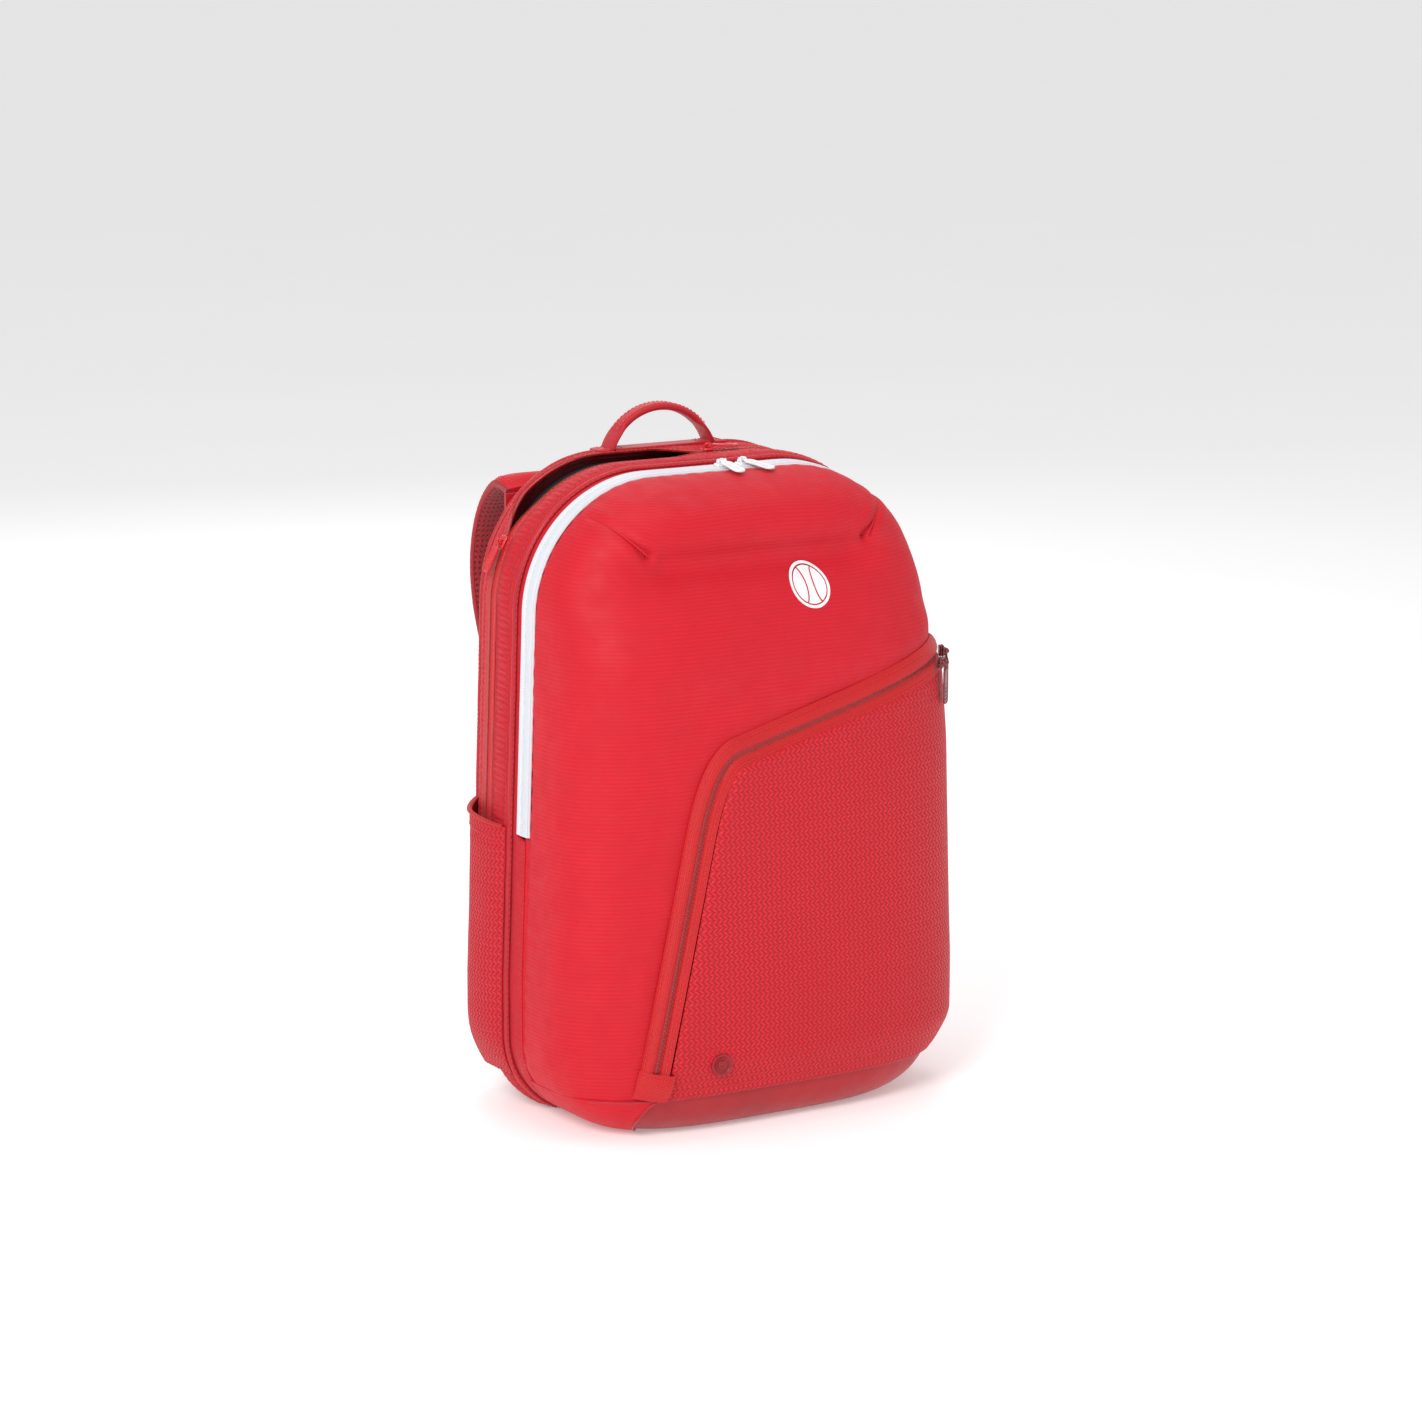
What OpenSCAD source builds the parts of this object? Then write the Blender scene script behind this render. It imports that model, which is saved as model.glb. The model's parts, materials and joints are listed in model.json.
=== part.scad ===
/* [Bag body] */
// Half width of the bag at its widest, low on the sides
hip_half_w = 160; // [150:1:170]
// Half width of the bag where the top corners begin
shoulder_half_w = 150; // [140:1:155]
// Height of the front half of the bag
top_z = 460; // [440:1:480]
// Radius of the two rounded top corners
top_corner_r = 95; // [80:1:110]
// Radius of the two rounded bottom corners
bottom_corner_r = 60; // [50:1:70]
// How far the front face stands in front of the origin
front_depth = 88; // [75:1:95]
// How far the back face stands behind the origin
back_y = 98; // [98:1:110]
// Thickness of the padded front wall
wall = 3; // [2:0.5:4]
// Height of the moulded base tub
base_h = 30; // [20:1:32]

/* [Zips and pocket] */
// Position of the main zip from front to back
main_zip_y = 10; // [6:1:12]
// Height at which both ends of the main zip stop
flap_z = 209; // [180:1:230]
// Position of the racket zip from front to back
racket_zip_y = 58; // [54:1:62]
// How far the front pocket stands off the front panel
pocket_lift = 10; // [8:1:12]
// Length of the two pulls on the main zip
main_pull_l = 29; // [22:1:32]
// Length of the pulls on the pocket zip
pocket_pull_l = 38; // [28:1:42]

/* [Carrying] */
// Height of the top of the grab handle
handle_top_z = 497; // [488:1:505]
// Width of the grab handle webbing
handle_w = 20; // [16:1:24]
// Width of each shoulder strap
strap_w = 60; // [50:1:66]
// Distance from the middle of the bag to the middle of a strap
strap_x = 88; // [80:1:92]

/* [Hidden] */
$fn = 48;

gap = 0.3;             // clearance between neighbouring pieces
edge_y = 4.5;          // plane where the front skin meets the zip tape
plan_power = 3.6;      // roundness of the front skin seen from above
slope_z = 412;         // height where the front face bends back to the top
slope_in = 28;         // how far the front face leans back at that height
lean_z = 330;          // height where the front face starts to lean back
hip_z = 100;           // height of the widest point
mouth_x = 17;          // right end of the open stretch of the racket zip
mouth_z = 417;         // left end of the open stretch, as a height
mouth_y = [52, 79];    // front and rear lips of the open stretch
corner_z = top_z - top_corner_r;
corner_x = shoulder_half_w - top_corner_r;
base_corner_x = hip_half_w - bottom_corner_r;
rib_grow = 4;          // how far the rear half stands proud of the front half
pin_r = 0.9;           // radius of a zip slider's cross pin
eye_r = 0.98;          // radius of the eye in a zip pull
pin_h = 4.5;           // height of the cross pin over the zip
pull_droop = 8;        // angle at which the main pulls rest on the cloth
red = "#d81f35";
deep_red = "#b8142a";
zip_red = "#e60a18";

// ---- outline of the bag seen from the front -------------------------------

function arc(cx, cz, r, a0, a1, n) =
    [for (i = [0:n]) let (a = a0 + (a1 - a0) * i / n) [cx + r * cos(a), cz + r * sin(a)]];

// right half of the outline from height z0 up to the middle of the top
function half_outline(grow, z0) =
    let (rb = bottom_corner_r + grow, a0 = asin((z0 - bottom_corner_r) / rb))
    concat(arc(base_corner_x, bottom_corner_r, rb, a0, 0, 6),
           [[hip_half_w + grow, hip_z]],
           arc(corner_x, corner_z, top_corner_r + grow, 0, 90, 16));

function mirrored(p) = [for (i = [len(p) - 1:-1:0]) [-p[i][0], p[i][1]]];

module outline(grow, z0) {
    half = half_outline(grow, z0);
    polygon(concat(half, mirrored(half)));
}

// extrude a front-view drawing between two depths
module slab(y0, y1) {
    translate([0, y1, 0]) rotate([90, 0, 0]) linear_extrude(y1 - y0) children();
}

// an arch-shaped band that is open at the bottom
module arch_band(y0, y1, grow_in, grow_out, z0 = base_h) {
    slab(y0, y1) difference() {
        outline(grow_out, z0);
        translate([0, -gap]) outline(grow_in, z0);
    }
}

// half width at height z
function half_w(z) =
    z < bottom_corner_r ? base_corner_x + sqrt(pow(bottom_corner_r, 2) - pow(bottom_corner_r - z, 2))
    : z < hip_z ? hip_half_w
    : z < corner_z ? hip_half_w + (shoulder_half_w - hip_half_w) * (z - hip_z) / (corner_z - hip_z)
    : corner_x + sqrt(max(0, pow(top_corner_r, 2) - pow(z - corner_z, 2)));

function smooth(t) = t <= 0 ? 0 : t >= 1 ? 1 : t * t * (3 - 2 * t);

// depth of the front skin in front of its own edge at height z
function skin_depth(z) =
    let (full = front_depth + edge_y)
    z < slope_z ? full - slope_in * smooth((z - lean_z) / (slope_z - lean_z))
    : (full - slope_in) * sqrt(max(0, 1 - pow((z - slope_z) / (top_z - slope_z), 2)));

// point on the front skin: t runs from 0 at the right edge to 180 at the left edge
function skin(t, z, off) =
    let (c = cos(t), s = max(0, sin(t)), e = 2 / plan_power, d = skin_depth(z) + off)
    [(half_w(z) + off) * sign(c) * pow(abs(c), e), edge_y - d * pow(s, e), z];

// the value of t at which the skin crosses a given x
function skin_t(x, z) =
    let (u = min(1, abs(x) / half_w(z)), a = acos(pow(u, plan_power / 2))) x < 0 ? 180 - a : a;

// ---- closed sheet with a front and a rear face ------------------------------

module thick_sheet(outer, inner) {
    rows = len(outer);
    cols = len(outer[0]);
    n = rows * cols;
    flat = [for (g = [outer, inner]) for (row = g) for (p = row) p];
    faces = concat(
        [for (r = [0:rows - 2]) for (c = [0:cols - 2]) let (a = r * cols + c, d = a + cols)
            each [[a, a + 1, d + 1], [a, d + 1, d], [a + n, d + 1 + n, a + 1 + n],
                  [a + n, d + n, d + 1 + n]]],
        [for (c = [0:cols - 2]) let (a = c, b = c + 1, d = (rows - 1) * cols + c, e = d + 1)
            each [[b, a, a + n], [b, a + n, b + n], [d, e, e + n], [d, e + n, d + n]]],
        [for (r = [0:rows - 2]) let (a = r * cols, d = a + cols, b = a + cols - 1, e = b + cols)
            each [[a, d, d + n], [a, d + n, a + n], [e, b, b + n], [e, b + n, e + n]]]);
    polyhedron(points = flat, faces = faces, convexity = 6);
}

// ---- shells of the bag --------------------------------------------------------

skin_cols = 36;

module front_shell(zs) {
    outer = [for (z = zs) [for (i = [0:skin_cols]) skin(180 * i / skin_cols, z, 0)]];
    // the inner face drops below the outer one by the wall's thickness at the very top
    inner = [for (z = zs) [for (i = [0:skin_cols])
        let (p = skin(180 * i / skin_cols, z, -wall), up = max(0, z - slope_z) / (top_z - slope_z))
        [p[0], min(p[1], edge_y), z - wall * up]]];
    thick_sheet(outer, inner);
}

upper_rows = concat([for (z = [flap_z + gap:24:lean_z + 8]) z],
                    [for (a = [0:6:90]) corner_z + top_corner_r * sin(a)]);

module front_panel_upper() {
    color(red) front_shell(upper_rows);
}

module front_panel_lower() {
    color(red) front_shell([for (i = [0:9]) base_h + gap + (flap_z - base_h - 2 * gap) * i / 9]);
}

// plan of the base tub at height z, with both long edges rounded
front_round = 28;
back_round = 14;
function round_in(z, r) = z < r ? r - sqrt(r * r - pow(r - z, 2)) : 0;

module base_plan(z, inset) {
    w = half_w(z) - inset;
    d = front_depth + edge_y - round_in(z, front_round) - inset;
    e = 2 / plan_power;
    front = [for (i = [0:24]) let (t = 7.5 * i)
        [w * sign(cos(t)) * pow(abs(cos(t)), e), edge_y - d * pow(max(0, sin(t)), e)]];
    y1 = back_y - round_in(z, back_round) - inset;
    polygon(concat(front, [[-w, y1 - 12], [-w + 12, y1], [w - 12, y1], [w, y1 - 12]]));
}

module base_solid(inset, z0, z1) {
    steps = 7;
    slice = 0.2;
    hull() for (i = [0:steps]) let (z = z0 + (z1 - z0 - slice) * pow(i / steps, 1.5))
        translate([0, 0, z]) linear_extrude(slice) base_plan(z, inset);
}

module base_panel() {
    color(deep_red) difference() {
        base_solid(0, 0, base_h - gap);
        base_solid(wall, wall, base_h + 5);
    }
}

module base_board() {
    board_t = 2;
    color("dimgray") translate([0, 0, wall + gap]) linear_extrude(board_t) base_plan(1, 2 * wall);
}

module back_panel() {
    color(deep_red) slab(back_y - 3, back_y) outline(rib_grow - 1, base_h);
}

module back_frame_sheet() {
    color("gray") slab(back_y - 5.7, back_y - 3 - gap) outline(rib_grow - 3, base_h);
}

module divider_panel() {
    color("firebrick") slab(21, 22.5) outline(-wall - gap, base_h);
}

pad_t = 6.7;
module rounded_rect(w, h, r) {
    square([w - 2 * r, h], center = true);
    square([w, h - 2 * r], center = true);
    for (i = [-1, 1]) for (j = [-1, 1]) translate([i * (w / 2 - r), j * (h / 2 - r)]) circle(r);
}

module pad(x, z0, z1, w) {
    slab(back_y + gap, back_y + pad_t) translate([x, (z0 + z1) / 2]) rounded_rect(w, z1 - z0, 18);
}

module back_pad_left() {
    color("#7d1622") pad(-66, 150, 412, 96);
}

module back_pad_right() {
    color("#7d1622") pad(66, 150, 412, 96);
}

module lumbar_pad() {
    color("#7d1622") pad(0, 84, 142, 200);
}

module main_gusset() {
    color(red) {
        arch_band(16, 23 - gap, -wall, 0);
        intersection() {
            arch_band(edge_y + gap, 16, -wall, 0);
            slab(0, 20) translate([-200, 0]) square([400, flap_z - gap]);
        }
    }
}

module seam_piping_mid() {
    color(deep_red) arch_band(23, 25, -wall, rib_grow + 1);
}

module ribbed_gusset() {
    color(red) arch_band(25 + gap, 50, rib_grow - wall, rib_grow);
}

// the open stretch of the racket zip, from the left side to the top
module mouth_cut() {
    translate([-200, mouth_y[0], mouth_z]) cube([200 + mouth_x, mouth_y[1] - mouth_y[0], 80]);
}

module racket_zip_tape_front() {
    color(zip_red) difference() {
        arch_band(50 + gap, racket_zip_y - 0.2, rib_grow - 1, rib_grow + 0.2);
        mouth_cut();
    }
}

module racket_zip_tape_rear() {
    color(zip_red) difference() {
        arch_band(racket_zip_y + 0.2, 66 - gap, rib_grow - 1, rib_grow + 0.2);
        mouth_cut();
    }
}

module racket_zip_coil() {
    color(zip_red) difference() {
        arch_band(racket_zip_y - 1.5, racket_zip_y + 1.5, rib_grow - wall, rib_grow - 1 - gap);
        mouth_cut();
    }
}

module rear_gusset() {
    color(red) difference() {
        arch_band(66, 90 - gap, rib_grow - wall, rib_grow);
        mouth_cut();
    }
}

module seam_piping_back() {
    color(deep_red) arch_band(90, back_y - 5.7 - gap, -wall, rib_grow + 1);
}

// the main zip runs over the top and stops at flap_z on both sides
module main_zip_band(y0, y1, grow_in, grow_out) {
    intersection() {
        arch_band(y0, y1, grow_in, grow_out);
        slab(0, 20) translate([-200, flap_z + gap]) square([400, 300]);
    }
}

module main_zip_tape_front() {
    color("#eef3f8") main_zip_band(edge_y + gap, main_zip_y - 0.2, -1.2, 0.3);
}

module main_zip_tape_rear() {
    color("#eef3f8") main_zip_band(main_zip_y + 0.2, 16 - gap, -1.2, 0.3);
}

module main_zip_coil_front() {
    color("#dfe6ee") main_zip_band(main_zip_y - 2, main_zip_y - 0.1, -3.4, -1.5);
}

module main_zip_coil_rear() {
    color("#dfe6ee") main_zip_band(main_zip_y + 0.1, main_zip_y + 2, -3.4, -1.5);
}

// ---- front pocket ---------------------------------------------------------------

pocket_corner = [-55, 270];   // where the slanting zip would meet the upright zip
slant = 0.277;                // rise of the slanting stretch
lean = 0.202;                 // sideways run of the upright stretch
pocket_top_x = 146;           // right end of the zip
pocket_zip_low_z = 48;        // lower end of the zip
corner_run = [19, 54];        // how far from that corner the bend starts along x and z
tape_w = 12;                  // width of each half of the pocket tape
half_coil = 1;                // half width of the closed coil

// points [x, z] on the pocket zip, from its lower end to its right end
function upright(z) = [pocket_corner[0] - (pocket_corner[1] - z) * lean, z];
function slanted(x) = [x, pocket_corner[1] + (x - pocket_corner[0]) * slant];
function bend(t) =
    let (a = upright(pocket_corner[1] - corner_run[1]), c = slanted(pocket_corner[0] + corner_run[0]))
    a * pow(1 - t, 2) + pocket_corner * 2 * t * (1 - t) + c * t * t;

lower_route = [for (i = [0:6]) upright(pocket_zip_low_z + (flap_z - gap - pocket_zip_low_z) * i / 6)];
upper_route = concat([upright(flap_z + gap)], [for (i = [0:7]) bend(i / 7)],
                     [for (i = [1:8]) slanted(pocket_corner[0] + corner_run[0]
                         + (pocket_top_x - pocket_corner[0] - corner_run[0]) * i / 8)]);

// the panel starts one tape width inside the zip
function inset_route(r, i, side) =
    let (a = r[max(0, i - 1)], b = r[min(len(r) - 1, i + 1)], d = (b - a) / norm(b - a))
    r[i] + side * [-d[1], d[0]];

pocket_cols = 16;
pocket_right_t = 8;

// the panel comes close to the skin where it is sewn in along the base
function pocket_off(z) = pocket_lift - 6.8 * (1 - smooth((z - base_h) / 30));

module pocket_shell(edge) {
    function row(p, off) = let (t1 = max(skin_t(p[0], p[1]), pocket_right_t + 2))
        [for (i = [0:pocket_cols]) skin(pocket_right_t + (t1 - pocket_right_t) * i / pocket_cols,
                                        p[1], off)];
    thick_sheet([for (p = edge) row(p, pocket_off(p[1]))], [for (p = edge) row(p, pocket_off(p[1]) - 2.5)]);
}

module pocket_panel_upper() {
    n = len(upper_route) - 1;
    inner_edge = [for (i = [1:n]) inset_route(upper_route, i, -tape_w - half_coil)];
    color("#c81e36") pocket_shell(concat([[upright(flap_z + gap)[0] + tape_w + half_coil, flap_z + gap]],
        [for (p = inner_edge) if (p[1] > flap_z + 2) p]));
}

module pocket_panel_lower() {
    z0 = base_h + gap;
    zs = concat([for (i = [0:4]) z0 + 7 * i], [for (i = [1:5]) z0 + 28 + (flap_z - gap - z0 - 28) * i / 5]);
    color("#c81e36") pocket_shell([for (z = zs) upright(z) + [tape_w + half_coil, 0]]);
}

// a band of cloth beside the zip, from side a to side b, standing lift_a to lift_b off the skin
module zip_band(route, a, b, lift_a, lift_b, thick) {
    steps = 2;
    function row(i, off) = [for (k = [0:steps]) let (
        s = a + (b - a) * k / steps, p0 = inset_route(route, i, s),
        p = [min(p0[0], half_w(p0[1]) - 1), p0[1]])
        skin(skin_t(p[0], p[1]), route == lower_route || i == 0 ? route[i][1] : p[1],
             off + lift_a + (lift_b - lift_a) * k / steps)];
    thick_sheet([for (i = [0:len(route) - 1]) row(i, thick)], [for (i = [0:len(route) - 1]) row(i, 0)]);
}

module zip_tapes(route) {
    zip_band(route, half_coil + 0.4, tape_w, 5, 2, 1.2);
    zip_band(route, -tape_w, -half_coil - 0.4, pocket_lift - 1.2, 5, 1.2);
}

module pocket_zip_tape_upper() {
    color(zip_red) zip_tapes(upper_route);
}

module pocket_zip_tape_lower() {
    color(zip_red) zip_tapes(lower_route);
}

module pocket_zip_coil_upper() {
    color("#c00c18") zip_band(upper_route, -half_coil, half_coil, 5, 5, 2.2);
}

module pocket_zip_coil_lower() {
    color("#c00c18") zip_band(lower_route, -half_coil, half_coil, 5, 5, 2.2);
}

module zip_garage() {
    z0 = base_h + 2;
    z1 = pocket_zip_low_z - 3.2;
    ends = [for (i = [0:3]) upright(z0 + (z1 - z0) * i / 3)];
    color(zip_red) zip_band(ends, -tape_w, tape_w, pocket_lift - 1.2, 2, 1.2);
}

module pocket_badge() {
    badge_x = -55;
    badge_z = 54;
    badge_r = 8.25;
    y = skin(skin_t(badge_x, badge_z), badge_z, pocket_off(badge_z + badge_r))[1] - gap;
    color("#a80f22") translate([badge_x, y, badge_z]) rotate([90, 0, 0]) {
        cylinder(r = badge_r, h = 1.4);
        translate([0, 0, 1.4]) cylinder(r = 3.2, h = 1.1);
    }
}

// ---- slip pockets on the sides -----------------------------------------------------

side_pocket_y = [26, 88];
side_pocket_top = 217;
side_pocket_bulge = 12;
side_pocket_gap = 2.2;    // clearance between the sewn edges and the gusset

module side_pocket_right() {
    z0 = base_h + gap;
    function point(y, z, off) =
        let (u = (y - side_pocket_y[0]) / (side_pocket_y[1] - side_pocket_y[0]),
             crown = pow(sin(180 * u), 0.7) * smooth((z - z0) / 50))
        [half_w(z) + rib_grow + side_pocket_gap + off + (side_pocket_bulge - 1.6) * crown, y, z];
    function sheet(off) = [for (i = [0:8]) [for (j = [0:10])
        let (y = side_pocket_y[0] + (side_pocket_y[1] - side_pocket_y[0]) * j / 10,
             top = side_pocket_top + 8 * (j / 10 - 0.5), z = z0 + (top - z0) * i / 8)
        point(y, z, off)]];
    // columns run backwards so that the outer face is the one away from the bag
    outer = [for (row = sheet(1.6)) [for (j = [10:-1:0]) row[j]]];
    inner = [for (row = sheet(0)) [for (j = [10:-1:0]) row[j]]];
    color(red) thick_sheet(outer, inner);
}

module side_pocket_left() {
    mirror([1, 0, 0]) side_pocket_right();
}

// ---- zip sliders and pulls, drawn at the origin --------------------------------------
// the zip lies at z = 0, the cross pin runs along x and the pull hangs towards -y

module slider(plate_x, plate_y, col) {
    ear_x = 2.3;
    color(col) {
        linear_extrude(2) rounded_rect(plate_x, plate_y, 2.5);
        for (s = [-1, 1]) translate([s * (ear_x + 0.6), 0, 2]) {
            translate([-0.6, -1.6, 0]) cube([1.2, 3.2, pin_h - 2]);
            translate([-0.6, 0, pin_h - 2]) rotate([0, 90, 0]) cylinder(r = 1.6, h = 1.2);
        }
        translate([-ear_x, 0, pin_h]) rotate([0, 90, 0]) cylinder(r = pin_r, h = 2 * ear_x);
    }
}

module pull(pull_len, pull_w, droop, col) {
    eye_out = 1.9;
    color(col) translate([0, 0, pin_h]) rotate([droop, 0, 0]) difference() {
        union() {
            translate([-1.9, 0, 0]) rotate([0, 90, 0]) cylinder(r = eye_out, h = 3.8);
            translate([-1.9, -6, -0.8]) cube([3.8, 5, 1.6]);
            translate([0, -(pull_len + 4) / 2, -0.8]) linear_extrude(1.6)
                rounded_rect(pull_w, pull_len - 4, pull_w / 2 - 0.5);
        }
        translate([-3, 0, 0]) rotate([0, 90, 0]) cylinder(r = eye_r, h = 6);
    }
}

// places of the six sliders
module at_main(side) {
    turn = side > 0 ? 20 : 0;
    translate([side > 0 ? 24 : 7, main_zip_y, top_z + 0.6]) rotate([0, 0, turn]) children();
}

slider_normal = 15.8;   // direction that the skin faces at the right end of the pocket zip
module at_pocket(i) {
    x = pocket_top_x + 0.5 - 4.5 * i;
    z = slanted(x)[1] - 3;
    p = skin(skin_t(x, z), z, 8.8);
    translate(p) rotate([0, 0, -slider_normal - 12 * i]) rotate([0, 90, 0]) rotate([0, 0, 90]) children();
}

module at_racket_top() {
    translate([mouth_x + 7, racket_zip_y, top_z + rib_grow + 0.6]) rotate([0, 0, 90]) children();
}

side_angle = 148.5;     // place of the lower racket slider round the top corner
module at_racket_side() {
    r = top_corner_r + rib_grow + 0.6;
    a = side_angle + 4;
    translate([-corner_x + r * cos(a), racket_zip_y, corner_z + r * sin(a)])
        rotate([0, 90 - a, 0]) rotate([0, 0, -90]) children();
}

module main_slider_left() {
    at_main(-1) slider(11, 8, "white");
}

module main_slider_right() {
    at_main(1) slider(11, 8, "white");
}

module main_pull_left() {
    at_main(-1) pull(main_pull_l, 9, pull_droop, "white");
}

module main_pull_right() {
    at_main(1) pull(main_pull_l, 9, pull_droop, "white");
}

module pocket_slider_upper() {
    at_pocket(0) slider(8, 9, "#8e0f1c");
}

module pocket_slider_lower() {
    at_pocket(3) slider(8, 9, "#8e0f1c");
}

module pocket_pull_upper() {
    at_pocket(0) pull(pocket_pull_l, 8, 0, "#8e0f1c");
}

module pocket_pull_lower() {
    at_pocket(3) pull(pocket_pull_l - 8, 8, 0, "#8e0f1c");
}

module racket_slider_top() {
    at_racket_top() slider(8, 11, zip_red);
}

module racket_slider_side() {
    at_racket_side() slider(8, 11, zip_red);
}

module racket_pull_top() {
    at_racket_top() pull(24, 9, 4, zip_red);
}

module racket_pull_side() {
    at_racket_side() pull(24, 9, 0, zip_red);
}

// ---- grab handle -------------------------------------------------------------------------

handle_y = 90;
handle_half = 42;
handle_t = 3;
anchor_top = top_z + rib_grow + 3.6;

module grab_handle() {
    rise = handle_top_z - top_z - rib_grow - 4;
    r = (pow(handle_half, 2) + pow(rise, 2)) / (2 * rise);
    foot_z = anchor_top + gap;
    color(red) intersection() {
        slab(handle_y - handle_w / 2, handle_y + handle_w / 2) translate([0, handle_top_z - r])
            difference() {
                circle(r);
                circle(r - handle_t);
            }
        translate([-60, handle_y, foot_z]) rotate([90, 0, 90]) linear_extrude(120)
            polygon([[-0.3, 0], [0.3, 0], [handle_w / 2 + 1, 14], [handle_w / 2 + 1, 40],
                     [-handle_w / 2 - 1, 40], [-handle_w / 2 - 1, 14]]);
    }
}

module grab_handle_anchor() {
    color(deep_red) translate([-52, handle_y - 8, top_z + rib_grow + 1 + gap])
        cube([104, 16, anchor_top - top_z - rib_grow - 1 - gap]);
}

// ---- shoulder straps ------------------------------------------------------------------------

// side profile of the left strap as [y, z], from its lower end to its seam at the top
strap_points = [[114, 178], [114, 210], [115, 240], [119, 264], [127, 283], [137, 304],
                [149, 328], [158, 352], [161, 380], [155, 408], [141, 431], [121, 445], [103, 441]];

// a smooth curve through the points, n steps per stretch
function through(p, n) = [for (i = [0:len(p) - 2]) for (k = [0:n - 1])
    let (t = k / n, a = p[max(0, i - 1)], b = p[i], c = p[i + 1], d = p[min(len(p) - 1, i + 2)])
    0.5 * (2 * b + (c - a) * t + (2 * a - 5 * b + 4 * c - d) * t * t
           + (3 * b - a - 3 * c + d) * t * t * t)];

strap_line = concat(through(strap_points, 2), [strap_points[len(strap_points) - 1]]);

module strap_layer(lift_in, lift_out, width) {
    n = len(strap_line) - 1;
    cols = 6;
    function row(i, lift) =
        let (a = strap_line[max(0, i - 1)], b = strap_line[min(n, i + 1)], d = (b - a) / norm(b - a),
             q = strap_line[i] + lift * [d[1], -d[0]])
        [for (c = [0:cols]) [strap_x + width * (c / cols - 0.5), q[0], q[1]]];
    thick_sheet([for (i = [0:n]) row(i, lift_out)], [for (i = [0:n]) row(i, lift_in)]);
}

module strap_right() {
    color(red) strap_layer(-4, 5, strap_w);
}

module strap_left() {
    color(red) translate([-2 * strap_x, 0, 0]) strap_layer(-4, 5, strap_w);
}

module strap_lining_right() {
    color("#6d1018") strap_layer(-6.4, -4 - gap, strap_w - 4);
}

module strap_lining_left() {
    color("#6d1018") translate([-2 * strap_x, 0, 0]) strap_layer(-6.4, -4 - gap, strap_w - 4);
}

lock_z = [150, 177];
module ladder_lock(x) {
    color("#1c1c1e") slab(112, 116) difference() {
        translate([x, (lock_z[0] + lock_z[1]) / 2]) rounded_rect(34, lock_z[1] - lock_z[0], 4);
        for (z = [155, 164]) translate([x - 13, z]) square([26, 6]);
    }
}

module ladder_lock_left() {
    ladder_lock(-strap_x);
}

module ladder_lock_right() {
    ladder_lock(strap_x);
}

// webbing from the ladder lock down to the corner of the back panel
anchor_x = 118;
module strap_webbing_right() {
    steps = 6;
    half = 12;
    function row(t, off) = let (x = strap_x + (anchor_x - strap_x) * t, y = 118 - 12 * t + off,
                                z = 150 - 72 * t) [[x - half, y, z], [x + half, y, z]];
    color(deep_red) thick_sheet([for (i = [steps:-1:0]) row(i / steps, 1.6)],
                                [for (i = [steps:-1:0]) row(i / steps, 0)]);
}

module strap_webbing_left() {
    mirror([1, 0, 0]) strap_webbing_right();
}

module strap_anchor(x) {
    color(deep_red) slab(back_y + gap, back_y + 3) translate([x, 62]) rounded_rect(30, 26, 4);
}

module strap_anchor_left() {
    strap_anchor(-anchor_x);
}

module strap_anchor_right() {
    strap_anchor(anchor_x);
}

module strap_yoke() {
    color(deep_red) for (s = [-1, 1])
        slab(back_y + gap, back_y + 3) translate([s * strap_x, 424]) rounded_rect(strap_w + 6, 18, 4);
}

base_panel();
base_board();
back_panel();
back_frame_sheet();
back_pad_left();
back_pad_right();
lumbar_pad();
divider_panel();
main_gusset();
seam_piping_mid();
ribbed_gusset();
racket_zip_tape_front();
racket_zip_tape_rear();
racket_zip_coil();
rear_gusset();
seam_piping_back();
main_zip_tape_front();
main_zip_tape_rear();
main_zip_coil_front();
main_zip_coil_rear();
front_panel_upper();
front_panel_lower();
pocket_panel_upper();
pocket_panel_lower();
pocket_zip_tape_upper();
pocket_zip_tape_lower();
pocket_zip_coil_upper();
pocket_zip_coil_lower();
zip_garage();
pocket_badge();
side_pocket_left();
side_pocket_right();
main_slider_left();
main_slider_right();
main_pull_left();
main_pull_right();
pocket_slider_upper();
pocket_slider_lower();
pocket_pull_upper();
pocket_pull_lower();
racket_slider_top();
racket_slider_side();
racket_pull_top();
racket_pull_side();
grab_handle();
grab_handle_anchor();
strap_left();
strap_right();
strap_lining_left();
strap_lining_right();
ladder_lock_left();
ladder_lock_right();
strap_webbing_left();
strap_webbing_right();
strap_anchor_left();
strap_anchor_right();
strap_yoke();
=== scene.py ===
"""Racket backpack: fabric, zips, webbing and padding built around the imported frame."""
import json
import math

import bpy
import numpy as np
from mathutils import Matrix, Vector, noise


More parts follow.
